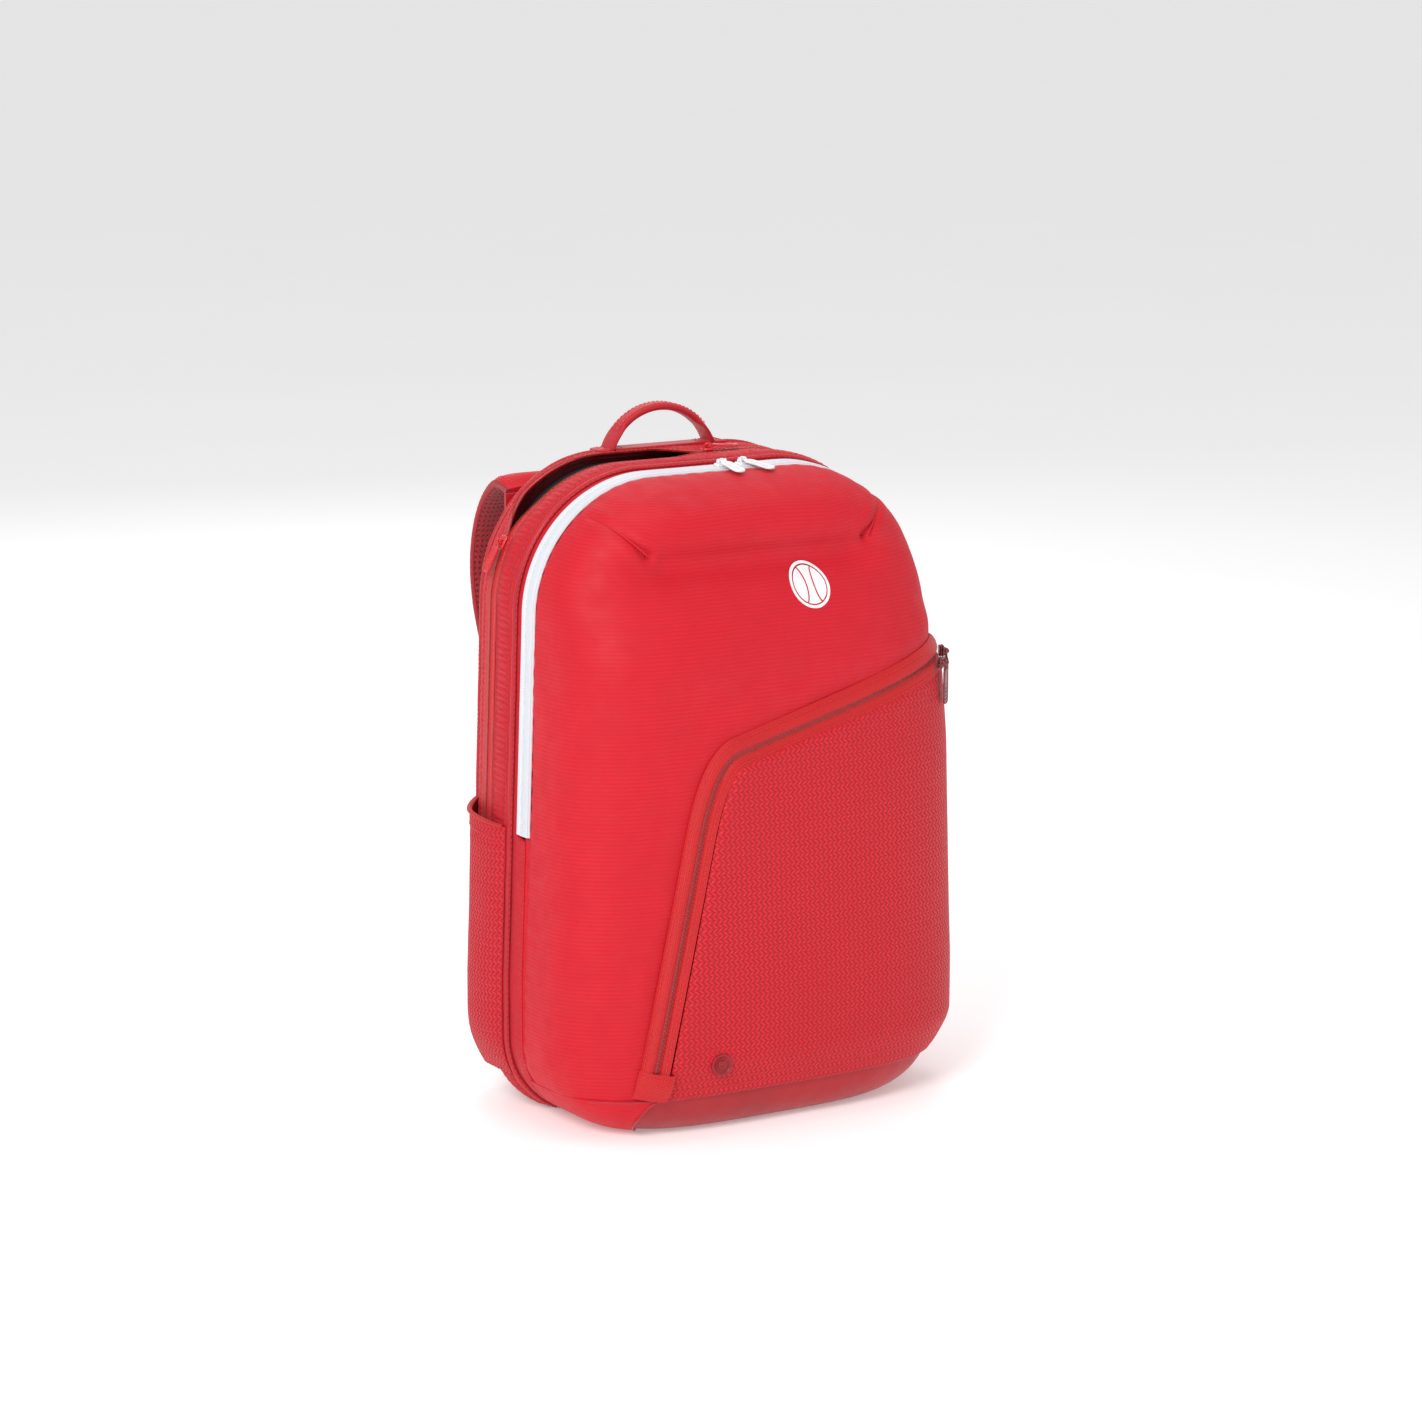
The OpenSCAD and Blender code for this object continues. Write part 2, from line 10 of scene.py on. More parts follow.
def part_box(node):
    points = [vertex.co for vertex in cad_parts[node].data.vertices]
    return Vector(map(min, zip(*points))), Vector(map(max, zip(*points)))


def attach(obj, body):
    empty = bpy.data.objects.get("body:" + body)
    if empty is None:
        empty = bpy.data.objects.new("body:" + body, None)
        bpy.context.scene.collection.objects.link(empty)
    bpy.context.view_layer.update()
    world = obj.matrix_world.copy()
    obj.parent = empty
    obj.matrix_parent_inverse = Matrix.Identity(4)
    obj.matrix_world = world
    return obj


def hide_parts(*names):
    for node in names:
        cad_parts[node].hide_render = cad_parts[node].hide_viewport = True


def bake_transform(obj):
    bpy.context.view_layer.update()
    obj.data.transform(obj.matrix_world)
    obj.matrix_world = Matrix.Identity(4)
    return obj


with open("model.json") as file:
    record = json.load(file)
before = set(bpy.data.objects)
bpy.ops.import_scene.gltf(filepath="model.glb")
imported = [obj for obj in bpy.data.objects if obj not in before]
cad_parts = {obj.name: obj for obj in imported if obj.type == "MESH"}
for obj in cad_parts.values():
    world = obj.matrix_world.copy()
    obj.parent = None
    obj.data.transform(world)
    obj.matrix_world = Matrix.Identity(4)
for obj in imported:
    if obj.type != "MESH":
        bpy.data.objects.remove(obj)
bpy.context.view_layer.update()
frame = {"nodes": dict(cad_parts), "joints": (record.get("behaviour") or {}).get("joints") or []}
JOINTS = {j["name"]: j for j in frame["joints"]}
MM = 0.001


# ---- sizes in millimetres, taken from the frame ----------------------------------------------

def low(node, axis):
    """Lowest coordinate of a CAD node along an axis, in millimetres."""
    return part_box(node)[0][axis] / MM


def high(node, axis):
    """Highest coordinate of a CAD node along an axis, in millimetres."""
    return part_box(node)[1][axis] / MM


X, Y, Z = 0, 1, 2
HIP_W = high("front_panel_lower", X)
SHOULDER_W = 150.0
TOP = high("front_panel_upper", Z)
CORNER_R = 95.0
BASE_R = 60.0
BASE_H = high("base_panel", Z)
FRONT = -low("base_panel", Y)
EDGE_Y = high("front_panel_lower", Y)
BACK_Y = high("base_panel", Y)
FLAP_Z = JOINTS["front_flap_fold"]["pos_m"][2] / MM
ZIP_Y = high("main_zip_coil_front", Y)
RIB_GROW = 4.0
HIP_Z = 100.0
PLAN_POWER = 3.6
SLOPE_Z, SLOPE_IN, LEAN_Z = 412.0, 28.0, 330.0
CORNER_X, CORNER_Z = SHOULDER_W - CORNER_R, TOP - CORNER_R
BASE_X = HIP_W - BASE_R
RACKET_Y = (low("racket_zip_coil", Y) + high("racket_zip_coil", Y)) / 2
MOUTH_X = 17.0


def smooth(t):
    """Smooth step from 0 to 1."""
    t = np.clip(t, 0, 1)
    return t * t * (3 - 2 * t)


def unit(vectors):
    """The same vectors with length 1."""
    return vectors / np.linalg.norm(vectors, axis=-1, keepdims=True)


def run_length(path):
    """Distance along a polyline at each of its points."""
    return np.concatenate([[0], np.cumsum(np.linalg.norm(np.diff(path, axis=0), axis=1))])


def half_w(z):
    """Half width of the bag at height z."""
    z = np.asarray(z, float)
    low_part = BASE_X + np.sqrt(np.maximum(0, BASE_R ** 2 - (BASE_R - z) ** 2))
    side = HIP_W + (SHOULDER_W - HIP_W) * (z - HIP_Z) / (CORNER_Z - HIP_Z)
    top_part = CORNER_X + np.sqrt(np.maximum(0, CORNER_R ** 2 - (z - CORNER_Z) ** 2))
    return np.where(z < BASE_R, low_part,
                    np.where(z < HIP_Z, HIP_W, np.where(z < CORNER_Z, side, top_part)))


def skin_depth(z):
    """How far the front skin stands in front of its own edge at height z."""
    z = np.asarray(z, float)
    full = FRONT + EDGE_Y
    lean = full - SLOPE_IN * smooth((z - LEAN_Z) / (SLOPE_Z - LEAN_Z))
    cap = (full - SLOPE_IN) * np.sqrt(np.maximum(0, 1 - ((z - SLOPE_Z) / (TOP - SLOPE_Z)) ** 2))
    return np.where(z < SLOPE_Z, lean, cap)


def skin(t, z, off=0.0):
    """Point on the front skin: t is 0 at the right edge and 180 at the left edge."""
    t, z, off = np.broadcast_arrays(np.radians(t), np.asarray(z, float), np.asarray(off, float))
    c, s = np.cos(t), np.maximum(0, np.sin(t))
    e = 2 / PLAN_POWER
    x = (half_w(z) + off) * np.sign(c) * np.abs(c) ** e
    y = EDGE_Y - (skin_depth(z) + off) * s ** e
    return np.stack([x, y, z], -1)


def skin_t(x, z):
    """The value of t at which the skin crosses a given x."""
    u = np.minimum(1, np.abs(x) / half_w(z))
    a = np.degrees(np.arccos(u ** (PLAN_POWER / 2)))
    return np.where(np.asarray(x) < 0, 180 - a, a)


def arch(grow, z0, spacing=4.0):
    """Outline of the bag seen from the front, as [x, z, normal x, normal z], right foot to left foot."""
    points = []

    def add_arc(cx, cz, r, a0, a1):
        n = max(2, int(abs(math.radians(a1 - a0)) * r / spacing))
        for i in range(n):
            a = math.radians(a0 + (a1 - a0) * i / n)
            points.append((cx + r * math.cos(a), cz + r * math.sin(a), math.cos(a), math.sin(a)))

    def add_line(p, q, nx, nz):
        n = max(1, int(math.dist(p, q) / spacing))
        for i in range(n):
            points.append((p[0] + (q[0] - p[0]) * i / n, p[1] + (q[1] - p[1]) * i / n, nx, nz))

    rb, rt = BASE_R + grow, CORNER_R + grow
    add_arc(BASE_X, BASE_R, rb, math.degrees(math.asin((z0 - BASE_R) / rb)), 0)
    add_line((HIP_W + grow, BASE_R), (HIP_W + grow, HIP_Z), 1, 0)
    add_line((HIP_W + grow, HIP_Z), (SHOULDER_W + grow, CORNER_Z), 1, 0)
    add_arc(CORNER_X, CORNER_Z, rt, 0, 90)
    add_line((CORNER_X, TOP + grow), (0, TOP + grow), 0, 1)
    half = np.array(points)
    other = half[::-1] * np.array([-1, 1, -1, 1])
    return np.vstack([half, [[0, TOP + grow, 0, 1]], other])


# ---- mesh helpers ----------------------------------------------------------------------------

def new_object(name, verts_mm, faces, uvs=None, angle=38):
    """A mesh object from millimetre points, smooth except at edges sharper than angle."""
    mesh = bpy.data.meshes.new(name)
    mesh.from_pydata((np.asarray(verts_mm) * MM).tolist(), [], faces)
    if uvs is not None:
        layer = mesh.uv_layers.new(name="UVMap")
        index = np.zeros(len(mesh.loops), np.int32)
        mesh.loops.foreach_get("vertex_index", index)
        layer.data.foreach_set("uv", (np.asarray(uvs)[index] * MM).ravel().astype(np.float32))
    mesh.polygons.foreach_set("use_smooth", [True] * len(mesh.polygons))
    mesh.set_sharp_from_angle(angle=math.radians(angle))
    mesh.update()
    obj = bpy.data.objects.new(name, mesh)
    bpy.context.scene.collection.objects.link(obj)
    return obj


def grid_uv(grid):
    """Distances along the columns and rows of a grid, so that a weave keeps its real size."""
    du = np.linalg.norm(np.diff(grid, axis=1), axis=2)
    dv = np.linalg.norm(np.diff(grid, axis=0), axis=2)
    u = np.concatenate([np.zeros((grid.shape[0], 1)), np.cumsum(du, 1)], 1)
    v = np.concatenate([np.zeros((1, grid.shape[1])), np.cumsum(dv, 0)], 0)
    return np.stack([u - u.mean(), v], -1)


def sheet_mesh(name, outer, inner, loop=False, angle=38):
    """A closed sheet between two grids of points. loop joins the last column to the first."""
    rows, cols = outer.shape[:2]
    n = rows * cols
    faces = []
    last = cols if loop else cols - 1
    for r in range(rows - 1):
        for c in range(last):
            a, b = r * cols + c, r * cols + (c + 1) % cols
            d, e = a + cols, b + cols
            faces += [(a, d, e, b), (a + n, b + n, e + n, d + n)]
    for c in range(last):
        a, b = c, (c + 1) % cols
        d, e = a + (rows - 1) * cols, b + (rows - 1) * cols
        faces += [(a, b, b + n, a + n), (d, d + n, e + n, e)]
    if not loop:
        for r in range(rows - 1):
            a, d = r * cols, (r + 1) * cols
            b, e = a + cols - 1, d + cols - 1
            faces += [(a, a + n, d + n, d), (b, e, e + n, b + n)]
    uv = grid_uv(outer).reshape(-1, 2)
    verts = np.vstack([outer.reshape(-1, 3), inner.reshape(-1, 3)])
    return new_object(name, verts, faces, np.vstack([uv, uv]), angle)


def grid_normals(grid, loop=False):
    """Unit normals of a grid, pointing outward where rows x columns does."""
    if loop:
        wide = np.concatenate([grid[:, -1:], grid, grid[:, :1]], 1)
        dc = wide[:, 2:] - wide[:, :-2]
    else:
        dc = np.gradient(grid, axis=1)
    dr = np.gradient(grid, axis=0)
    n = np.cross(dr, dc)
    return n / np.maximum(1e-9, np.linalg.norm(n, axis=2, keepdims=True))


def resample(path, step):
    """The polyline path as points a fixed distance apart, with its total length."""
    path = np.asarray(path, float)
    d = run_length(path)
    s = np.linspace(0, d[-1], max(2, int(round(d[-1] / step)) + 1))
    return np.stack([np.interp(s, d, path[:, k]) for k in range(path.shape[1])], 1), d[-1]


def frames(path, normals):
    """Tangent, side and up directions along a path with a surface normal at each point."""
    tangent = unit(np.gradient(path, axis=0))
    side = unit(np.cross(normals, tangent))
    up = np.cross(tangent, side)
    return tangent, side, up


def ring_faces(rows, cols):
    """Faces of a tube made of rings, capped at both ends."""
    faces = [(r * cols + c, r * cols + (c + 1) % cols,
              (r + 1) * cols + (c + 1) % cols, (r + 1) * cols + c)
             for r in range(rows - 1) for c in range(cols)]
    return faces + [tuple(range(cols))[::-1], tuple((rows - 1) * cols + c for c in range(cols))]


def sweep(name, path, normals, profile, angle=50):
    """A closed profile of [side, up] points swept along a path, capped at both ends."""
    _, side, up = frames(path, normals)
    profile = np.asarray(profile, float)
    rings = path[:, None] + side[:, None] * profile[None, :, :1] + up[:, None] * profile[None, :,
                                                                                         1:]
    rows, cols = rings.shape[:2]
    return new_object(name, rings.reshape(-1, 3), ring_faces(rows, cols),
                      grid_uv(rings).reshape(-1, 2), angle)


def circle_profile(r, sides=8, flat=1.0):
    """A round or flattened profile."""
    return [(r * math.cos(2 * math.pi * i / sides), r * flat * math.sin(2 * math.pi * i / sides))
            for i in range(sides)]


CAPSULE_RINGS = [(-0.5, 0.35), (-0.38, 0.85), (0.0, 1.0), (0.38, 0.85), (0.5, 0.35)]
CAPSULE_SIDES = 6
STITCH_LIFT = 0.15


def scatter_capsules(name, centres, along, side, up, length, width, height):
    """Many small rounded bars in one mesh: stitches or coil teeth."""
    verts, faces = [], []
    sides = CAPSULE_SIDES
    for i in range(len(centres)):
        base = i * len(CAPSULE_RINGS) * sides
        for k, (s, w) in enumerate(CAPSULE_RINGS):
            for j in range(sides):
                a = 2 * math.pi * j / sides
                verts.append(centres[i] + along[i] * s * length
                             + side[i] * w * width / 2 * math.cos(a) + up[i] * w * height / 2 * math.sin(a))
        for k in range(len(CAPSULE_RINGS) - 1):
            for j in range(sides):
                a, b = base + k * sides + j, base + k * sides + (j + 1) % sides
                faces.append((a, a + sides, b + sides, b))
        faces.append(tuple(base + j for j in range(sides)))
        end = base + (len(CAPSULE_RINGS) - 1) * sides
        faces.append(tuple(end + j for j in range(sides))[::-1])
    return new_object(name, verts, faces, None, 80)


def spaced_frames(path, normals, pitch):
    """Points a pitch apart along a path, each with its tangent, side and up directions."""
    both, _ = resample(np.hstack([path, normals]), pitch)
    points = both[:, :3]
    return points, *frames(points, unit(both[:, 3:]))


def stitches(name, path, normals, pitch=4.2, length=3.0, thick=0.7):
    """A row of thread stitches along a path on a surface."""
    points, tangent, side, up = spaced_frames(path, normals, pitch)
    return scatter_capsules(name, points + up * STITCH_LIFT, tangent, side, up, length, thick,
                            thick)


def coil_teeth(name, path, normals, pitch=1.5, width=3.6, thick=0.9, lift=0.2, shift=0.5):
    """Zip coil: bars across the path, stepping from side to side."""
    points, tangent, side, up = spaced_frames(path, normals, pitch)
    step = np.where(np.arange(len(points)) % 2, shift, -shift)[:, None]
    return scatter_capsules(name, points + side * step + up * lift, side, tangent, up, width, thick,
                            thick)


def join(name, objects):
    """Several meshes as one object, which keeps the first one's name and UV map."""
    bpy.ops.object.select_all(action="DESELECT")
    for o in objects:
        o.select_set(True)
    bpy.context.view_layer.objects.active = objects[0]
    bpy.ops.object.join()
    objects[0].name = name
    return objects[0]


# ---- materials -------------------------------------------------------------------------------

class Graph:
    """A node material, with short calls for the nodes that the fabrics share."""

    def __init__(self, name, **surface):
        self.material = bpy.data.materials.new(name)
        self.material.use_nodes = True
        self.tree = self.material.node_tree
        self.shader = self.tree.nodes["Principled BSDF"]
        for socket, value in surface.items():
            self.shader.inputs[socket.replace("_", " ")].default_value = value
        self.coords = self.tree.nodes.new("ShaderNodeTexCoord")

    def plug(self, value, socket):
        """Sets a socket to a number or links it to another socket."""
        if isinstance(value, bpy.types.NodeSocket):
            self.tree.links.new(value, socket)
        else:
            socket.default_value = value

    def math(self, operation, a, b=0.0, c=0.0):
        """A maths node on numbers or sockets."""
        node = self.tree.nodes.new("ShaderNodeMath")
        node.operation = operation
        for value, socket in zip((a, b, c), node.inputs):
            self.plug(value, socket)
        return node.outputs[0]

    def uv(self):
        """The two distances along the cloth, in metres."""
        node = self.tree.nodes.new("ShaderNodeSeparateXYZ")
        self.tree.links.new(self.coords.outputs["UV"], node.inputs[0])
        return node.outputs[0], node.outputs[1]

    def noise(self, scale, detail=3.0, rough=0.5):
        """Noise over the object's own coordinates."""
        node = self.tree.nodes.new("ShaderNodeTexNoise")
        self.tree.links.new(self.coords.outputs["Object"], node.inputs["Vector"])
        node.inputs["Scale"].default_value = scale
        node.inputs["Detail"].default_value = detail
        node.inputs["Roughness"].default_value = rough
        return node.outputs["Fac"]

    def wave(self, coord, pitch):
        """A wave from 0 to 1 along a coordinate, with its pitch in metres."""
        angle = self.math("MULTIPLY", coord, 2 * math.pi / pitch)
        return self.math("MULTIPLY_ADD", self.math("SINE", angle), 0.5, 0.5)

    def spread(self, value, low_in, high_in, low_out, high_out):
        """Maps one range of values onto another."""
        node = self.tree.nodes.new("ShaderNodeMapRange")
        self.plug(value, node.inputs["Value"])
        for name, number in zip(("From Min", "From Max", "To Min", "To Max"),
                                (low_in, high_in, low_out, high_out)):
            node.inputs[name].default_value = number
        return node.outputs[0]

    def mix_colour(self, factor, a, b):
        """Mixes two colours by a factor."""
        node = self.tree.nodes.new("ShaderNodeMix")
        node.data_type = "RGBA"
        self.plug(factor, node.inputs[0])
        for value, socket in ((a, node.inputs[6]), (b, node.inputs[7])):
            self.plug(value if isinstance(value, bpy.types.NodeSocket) else (*value, 1.0), socket)
        return node.outputs[2]

    def colour(self, value):
        """Sets the base colour."""
        self.plug(value, self.shader.inputs["Base Color"])

    def rough(self, value):
        """Sets the roughness."""
        self.plug(value, self.shader.inputs["Roughness"])

    def bump(self, *layers):
        """Bump layers as (height, distance in metres, strength)."""
        normal = None
        for height, distance, strength in layers:
            node = self.tree.nodes.new("ShaderNodeBump")
            node.inputs["Distance"].default_value = distance
            node.inputs["Strength"].default_value = strength
            self.plug(height, node.inputs["Height"])
            if normal is not None:
                self.tree.links.new(normal, node.inputs["Normal"])
            normal = node.outputs[0]
        self.tree.links.new(normal, self.shader.inputs["Normal"])


def scaled(colour, k):
    """A colour made darker or lighter by a factor."""
    return tuple(min(1.0, c * k) for c in colour)


SHEEN_TINT = (1.0, 0.30, 0.32, 1.0)


def ribbed_weave(name, colour, line=0.0029, depth=0.00013):
    """Polyester with fine lines across the cloth, crossed by finer threads."""
    thread, roughness = 0.0012, 0.62
    g = Graph(name, Sheen_Weight=0.12, Sheen_Roughness=0.45, Specular_IOR_Level=0.35,
              Sheen_Tint=SHEEN_TINT)
    u, v = g.uv()
    wander = g.math("MULTIPLY_ADD", g.noise(260, 2), 0.0009, v)
    lines = g.wave(wander, line)
    threads = g.wave(u, thread)
    weave = g.math("MULTIPLY_ADD", threads, 0.35, lines)
    patchy = g.math("MULTIPLY", weave, g.spread(g.noise(55, 4), 0.3, 0.7, 0.55, 1.1))
    tone = g.mix_colour(g.spread(patchy, 0.1, 1.3, 0.0, 1.0), scaled(colour, 0.88),
                        scaled(colour, 1.09))
    faded = g.mix_colour(g.spread(g.noise(9, 5, 0.6), 0.35, 0.7, 0.0, 0.35), tone,
                         scaled(colour, 0.84))
    g.colour(faded)
    g.rough(g.spread(g.noise(70, 4), 0.3, 0.7, roughness - 0.07, roughness + 0.08))
    g.bump((weave, depth, 0.6), (g.noise(420, 3), 0.00012, 0.4))
    return g.material


def herringbone(name, colour):
    """Embossed cloth: short slanting ribs that turn the other way in each row, with painted highlight on the ribs and
    painted shade between them.
    """
    g = Graph(name, Sheen_Weight=0.12, Sheen_Roughness=0.4, Specular_IOR_Level=0.4,
              Sheen_Tint=SHEEN_TINT)
    u, v = g.uv()
    row = g.math("PINGPONG", g.math("DIVIDE", v, 0.0058), 0.5)
    slant = g.math("MULTIPLY_ADD", row, 0.0058, u)
    ribs = g.wave(slant, 0.0039)
    gaps = g.spread(g.math("ABSOLUTE", g.math("SUBTRACT", row, 0.25)), 0.17, 0.25, 1.0, 0.35)
    raised = g.math("MULTIPLY", ribs, gaps)
    # painted highlight on the raised ribs and painted shade in the grooves and row gaps; the cloth itself is one
    # colour
    tone = g.mix_colour(raised, scaled(colour, 0.62), scaled(colour, 1.34))
    faded = g.mix_colour(g.spread(g.noise(8, 4), 0.35, 0.7, 0.0, 0.4), tone, scaled(colour, 0.8))
    g.colour(faded)
    g.rough(g.spread(raised, 0.0, 1.0, 0.66, 0.48))
    g.bump((raised, 0.0005, 0.9), (g.noise(500, 2), 0.0001, 0.4))
    return g.material


def smooth_cloth(name, colour, roughness=0.5):
    """Coated cloth: nearly smooth, with a faint grain."""
    g = Graph(name, Sheen_Weight=0.15, Sheen_Roughness=0.4, Coat_Weight=0.06, Coat_Roughness=0.4)
    u, v = g.uv()
    grain = g.math("ADD", g.wave(u, 0.0011), g.wave(v, 0.0011))
    tone = g.mix_colour(g.spread(g.noise(14, 5, 0.6), 0.3, 0.7, 0.0, 1.0), scaled(colour, 0.82),
                        scaled(colour, 1.1))
    g.colour(g.mix_colour(g.spread(grain, 0.0, 2.0, 0.0, 0.25), tone, scaled(colour, 0.7)))
    g.rough(g.spread(g.noise(90, 3), 0.3, 0.7, roughness - 0.08, roughness + 0.08))
    g.bump((grain, 0.00008, 0.5), (g.noise(38, 5), 0.0006, 0.35))
    return g.material


def webbing_weave(name, colour):
    """Narrow woven tape: ribs across it and a row of threads along it."""
    g = Graph(name, Sheen_Weight=0.2, Sheen_Roughness=0.35, Specular_IOR_Level=0.45)
    across, along = g.uv()
    ribs = g.wave(g.math("MULTIPLY_ADD", g.math("PINGPONG", g.math("DIVIDE", across, 0.0016), 0.5),
                         0.0009, along), 0.0013)
    rows = g.wave(across, 0.0016)
    weave = g.math("MULTIPLY_ADD", rows, 0.5, ribs)
    tone = g.mix_colour(g.spread(weave, 0.2, 1.4, 0.0, 1.0), scaled(colour, 0.68),
                        scaled(colour, 1.12))
    g.colour(g.mix_colour(g.spread(g.noise(22, 4), 0.35, 0.7, 0.0, 0.3), tone,
                          scaled(colour, 0.75)))
    g.rough(g.spread(weave, 0.0, 1.5, 0.62, 0.46))
    g.bump((weave, 0.00025, 0.7))
    return g.material


def air_mesh(name, colour):
    """Spacer mesh: rows of small holes over a darker ground."""
    g = Graph(name, Sheen_Weight=0.25, Sheen_Roughness=0.5)
    u, v = g.uv()
    stagger = g.math("MULTIPLY_ADD", g.math("PINGPONG", g.math("DIVIDE", v, 0.0048), 0.5), 0.0036,
                     u)
    cells = g.math("MULTIPLY", g.wave(stagger, 0.0036), g.wave(v, 0.0042))
    holes = g.spread(cells, 0.35, 0.7, 0.0, 1.0)
    g.colour(g.mix_colour(holes, scaled(colour, 1.1), scaled(colour, 0.25)))
    g.rough(g.spread(g.noise(60, 3), 0.3, 0.7, 0.7, 0.88))
    g.bump((g.math("SUBTRACT", 1.0, holes), 0.0007, 0.8))
    return g.material


def moulded(name, colour, roughness=0.35, coat=0.0):
    """Plastic or lacquered metal with slight unevenness and rubbed edges."""
    g = Graph(name, Coat_Weight=coat, Coat_Roughness=0.2)
    shade = g.spread(g.noise(180, 4), 0.3, 0.7, 0.0, 1.0)
    body = g.mix_colour(shade, scaled(colour, 0.88), scaled(colour, 1.06))
    geometry = g.tree.nodes.new("ShaderNodeNewGeometry")
    worn = g.spread(geometry.outputs["Pointiness"], 0.53, 0.62, 0.0, 0.45)
    g.colour(g.mix_colour(worn, body, tuple(min(1.0, 1.3 * c + 0.03) for c in colour)))
    g.rough(g.spread(g.noise(240, 3), 0.3, 0.7, roughness - 0.08, roughness + 0.1))
    g.bump((g.noise(650, 2), 0.00006, 0.4))
    return g.material


def thread(name, colour):
    """Sewing thread with a fine twist."""
    g = Graph(name, Sheen_Weight=0.1, Specular_IOR_Level=0.5)
    twist = g.noise(1500, 2)
    g.colour(g.mix_colour(twist, scaled(colour, 0.75), scaled(colour, 1.2)))
    g.rough(g.spread(twist, 0.3, 0.7, 0.4, 0.6))
    g.bump((twist, 0.0001, 0.5))
    return g.material


RED = (0.60, 0.004, 0.017)
BRIGHT_RED = (0.62, 0.003, 0.007)
POCKET_RED = (0.58, 0.004, 0.015)
BASE_RED = (0.42, 0.003, 0.009)
DARK_RED = (0.16, 0.004, 0.008)
WHITE = (0.80, 0.84, 0.90)

M = {
    "body": ribbed_weave("red_ripstop", RED),
    "side": ribbed_weave("red_ripstop_side", scaled(RED, 0.93), line=0.0034, depth=0.00035),
    "pocket": herringbone("embossed_herringbone", POCKET_RED),
    "panel": herringbone("embossed_side", scaled(RED, 0.9)),
    "base": smooth_cloth("coated_base", BASE_RED),
    "piping": smooth_cloth("piping_cover", scaled(RED, 0.8), 0.45),
    "lining": smooth_cloth("lining", (0.24, 0.006, 0.012), 0.7),
    "tape": webbing_weave("bright_zip_tape", BRIGHT_RED),
    "coil": moulded("red_nylon_coil", scaled(BRIGHT_RED, 0.5), 0.3),
    "white_tape": webbing_weave("white_zip_tape", WHITE),
    "white_coil": moulded("white_nylon_coil", scaled(WHITE, 0.9), 0.35),
    "white_metal": moulded("white_lacquer", (0.82, 0.84, 0.87), 0.28, coat=0.4),
    "dark_metal": moulded("dark_red_lacquer", DARK_RED, 0.28, coat=0.4),
    "red_metal": moulded("red_lacquer", (0.62, 0.006, 0.014), 0.3, coat=0.4),
    "badge": moulded("badge_plastic", (0.30, 0.003, 0.010), 0.4),
    "webbing": webbing_weave("red_webbing", scaled(RED, 0.95)),
    "mesh": air_mesh("air_mesh", (0.34, 0.012, 0.02)),
    "binding": webbing_weave("binding_tape", scaled(RED, 0.7)),
    "buckle": moulded("black_acetal", (0.02, 0.02, 0.022), 0.42),
    "board": moulded("grey_board", (0.09, 0.09, 0.10), 0.6),
    "thread": thread("red_thread", (0.70, 0.012, 0.02)),
    "light_thread": thread("light_red_thread", (0.80, 0.07, 0.06)),
    "print": moulded("white_print", (0.86, 0.87, 0.88), 0.55),
}


def dress(obj, material):
    """Gives a piece its material."""
    obj.data.materials.clear()
    obj.data.materials.append(M[material])
    return obj


def fit(obj, material, slot_name, body, *nodes):
    """Dresses a piece that rides on one body, and hides the CAD nodes that it replaces."""
    dress(obj, material)
    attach(obj, body)
    if nodes:
        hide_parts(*nodes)
    return obj


# ---- shared outlines on the bag --------------------------------------------------------------

POCKET_CORNER = np.array([-55.0, 270.0])
SLANT, LEAN_RUN = 0.277, 0.202
POCKET_END_X, POCKET_LOW_Z = 146.0, 48.0
CORNER_RUN = np.array([19.0, 54.0])
POCKET_LIFT = 10.0
COIL_LIFT = 4.6
ROUTE_STEP = 1.5


def pocket_route():
    """The pocket zip as [x, z] points, from its lower end to its right end."""
    def upright(z):
        return np.array([POCKET_CORNER[0] - (POCKET_CORNER[1] - z) * LEAN_RUN, z])

    def slanted(x):
        return np.array([x, POCKET_CORNER[1] + (x - POCKET_CORNER[0]) * SLANT])

    a = upright(POCKET_CORNER[1] - CORNER_RUN[1])
    c = slanted(POCKET_CORNER[0] + CORNER_RUN[0])
    bend = [a * (1 - t) ** 2 + POCKET_CORNER * 2 * t * (1 - t) + c * t * t
            for t in np.linspace(0, 1, 24)]
    points = [upright(POCKET_LOW_Z)] + bend + [slanted(POCKET_END_X)]
    return resample(points, ROUTE_STEP)[0]


ROUTE = pocket_route()


def route_distance(x, z):
    """Distance from points on the front to the pocket zip, negative on the pocket's side."""
    shape = x.shape
    p = np.stack([x.ravel(), z.ravel()], -1)
    foot = ROUTE[0] - (ROUTE[1] - ROUTE[0]) / np.linalg.norm(ROUTE[1] - ROUTE[0]) * 60
    head = ROUTE[-1] + (ROUTE[-1] - ROUTE[-2]) / np.linalg.norm(ROUTE[-1] - ROUTE[-2]) * 60
    line = np.vstack([foot, ROUTE, head])
    best = np.full(len(p), 1e9)
    sign = np.ones(len(p))
    for a, b in zip(line[:-1], line[1:]):
        d = b - a
        t = np.clip(((p - a) @ d) / (d @ d), 0, 1)
        gap = p - (a + t[:, None] * d)
        dist = np.hypot(gap[:, 0], gap[:, 1])
        closer = dist < best
        best = np.where(closer, dist, best)
        sign = np.where(closer, np.sign(d[0] * gap[:, 1] - d[1] * gap[:, 0]), sign)
    return (best * sign).reshape(shape)


def pocket_off(z):
    """How far the pocket stands off the skin: less where it is sewn in along the base."""
    return POCKET_LIFT - 6.8 * (1 - smooth((z - BASE_H) / 30))


def noise_field(points, size, seed=0.0):
    """Smooth noise from -1 to 1 at points, with features of the given size in millimetres."""
    flat = points.reshape(-1, 3) / size
    shift = Vector((seed, seed * 1.7, seed * 0.3))
    return np.array([noise.noise(Vector(p) + shift) for p in flat]).reshape(points.shape[:-1])


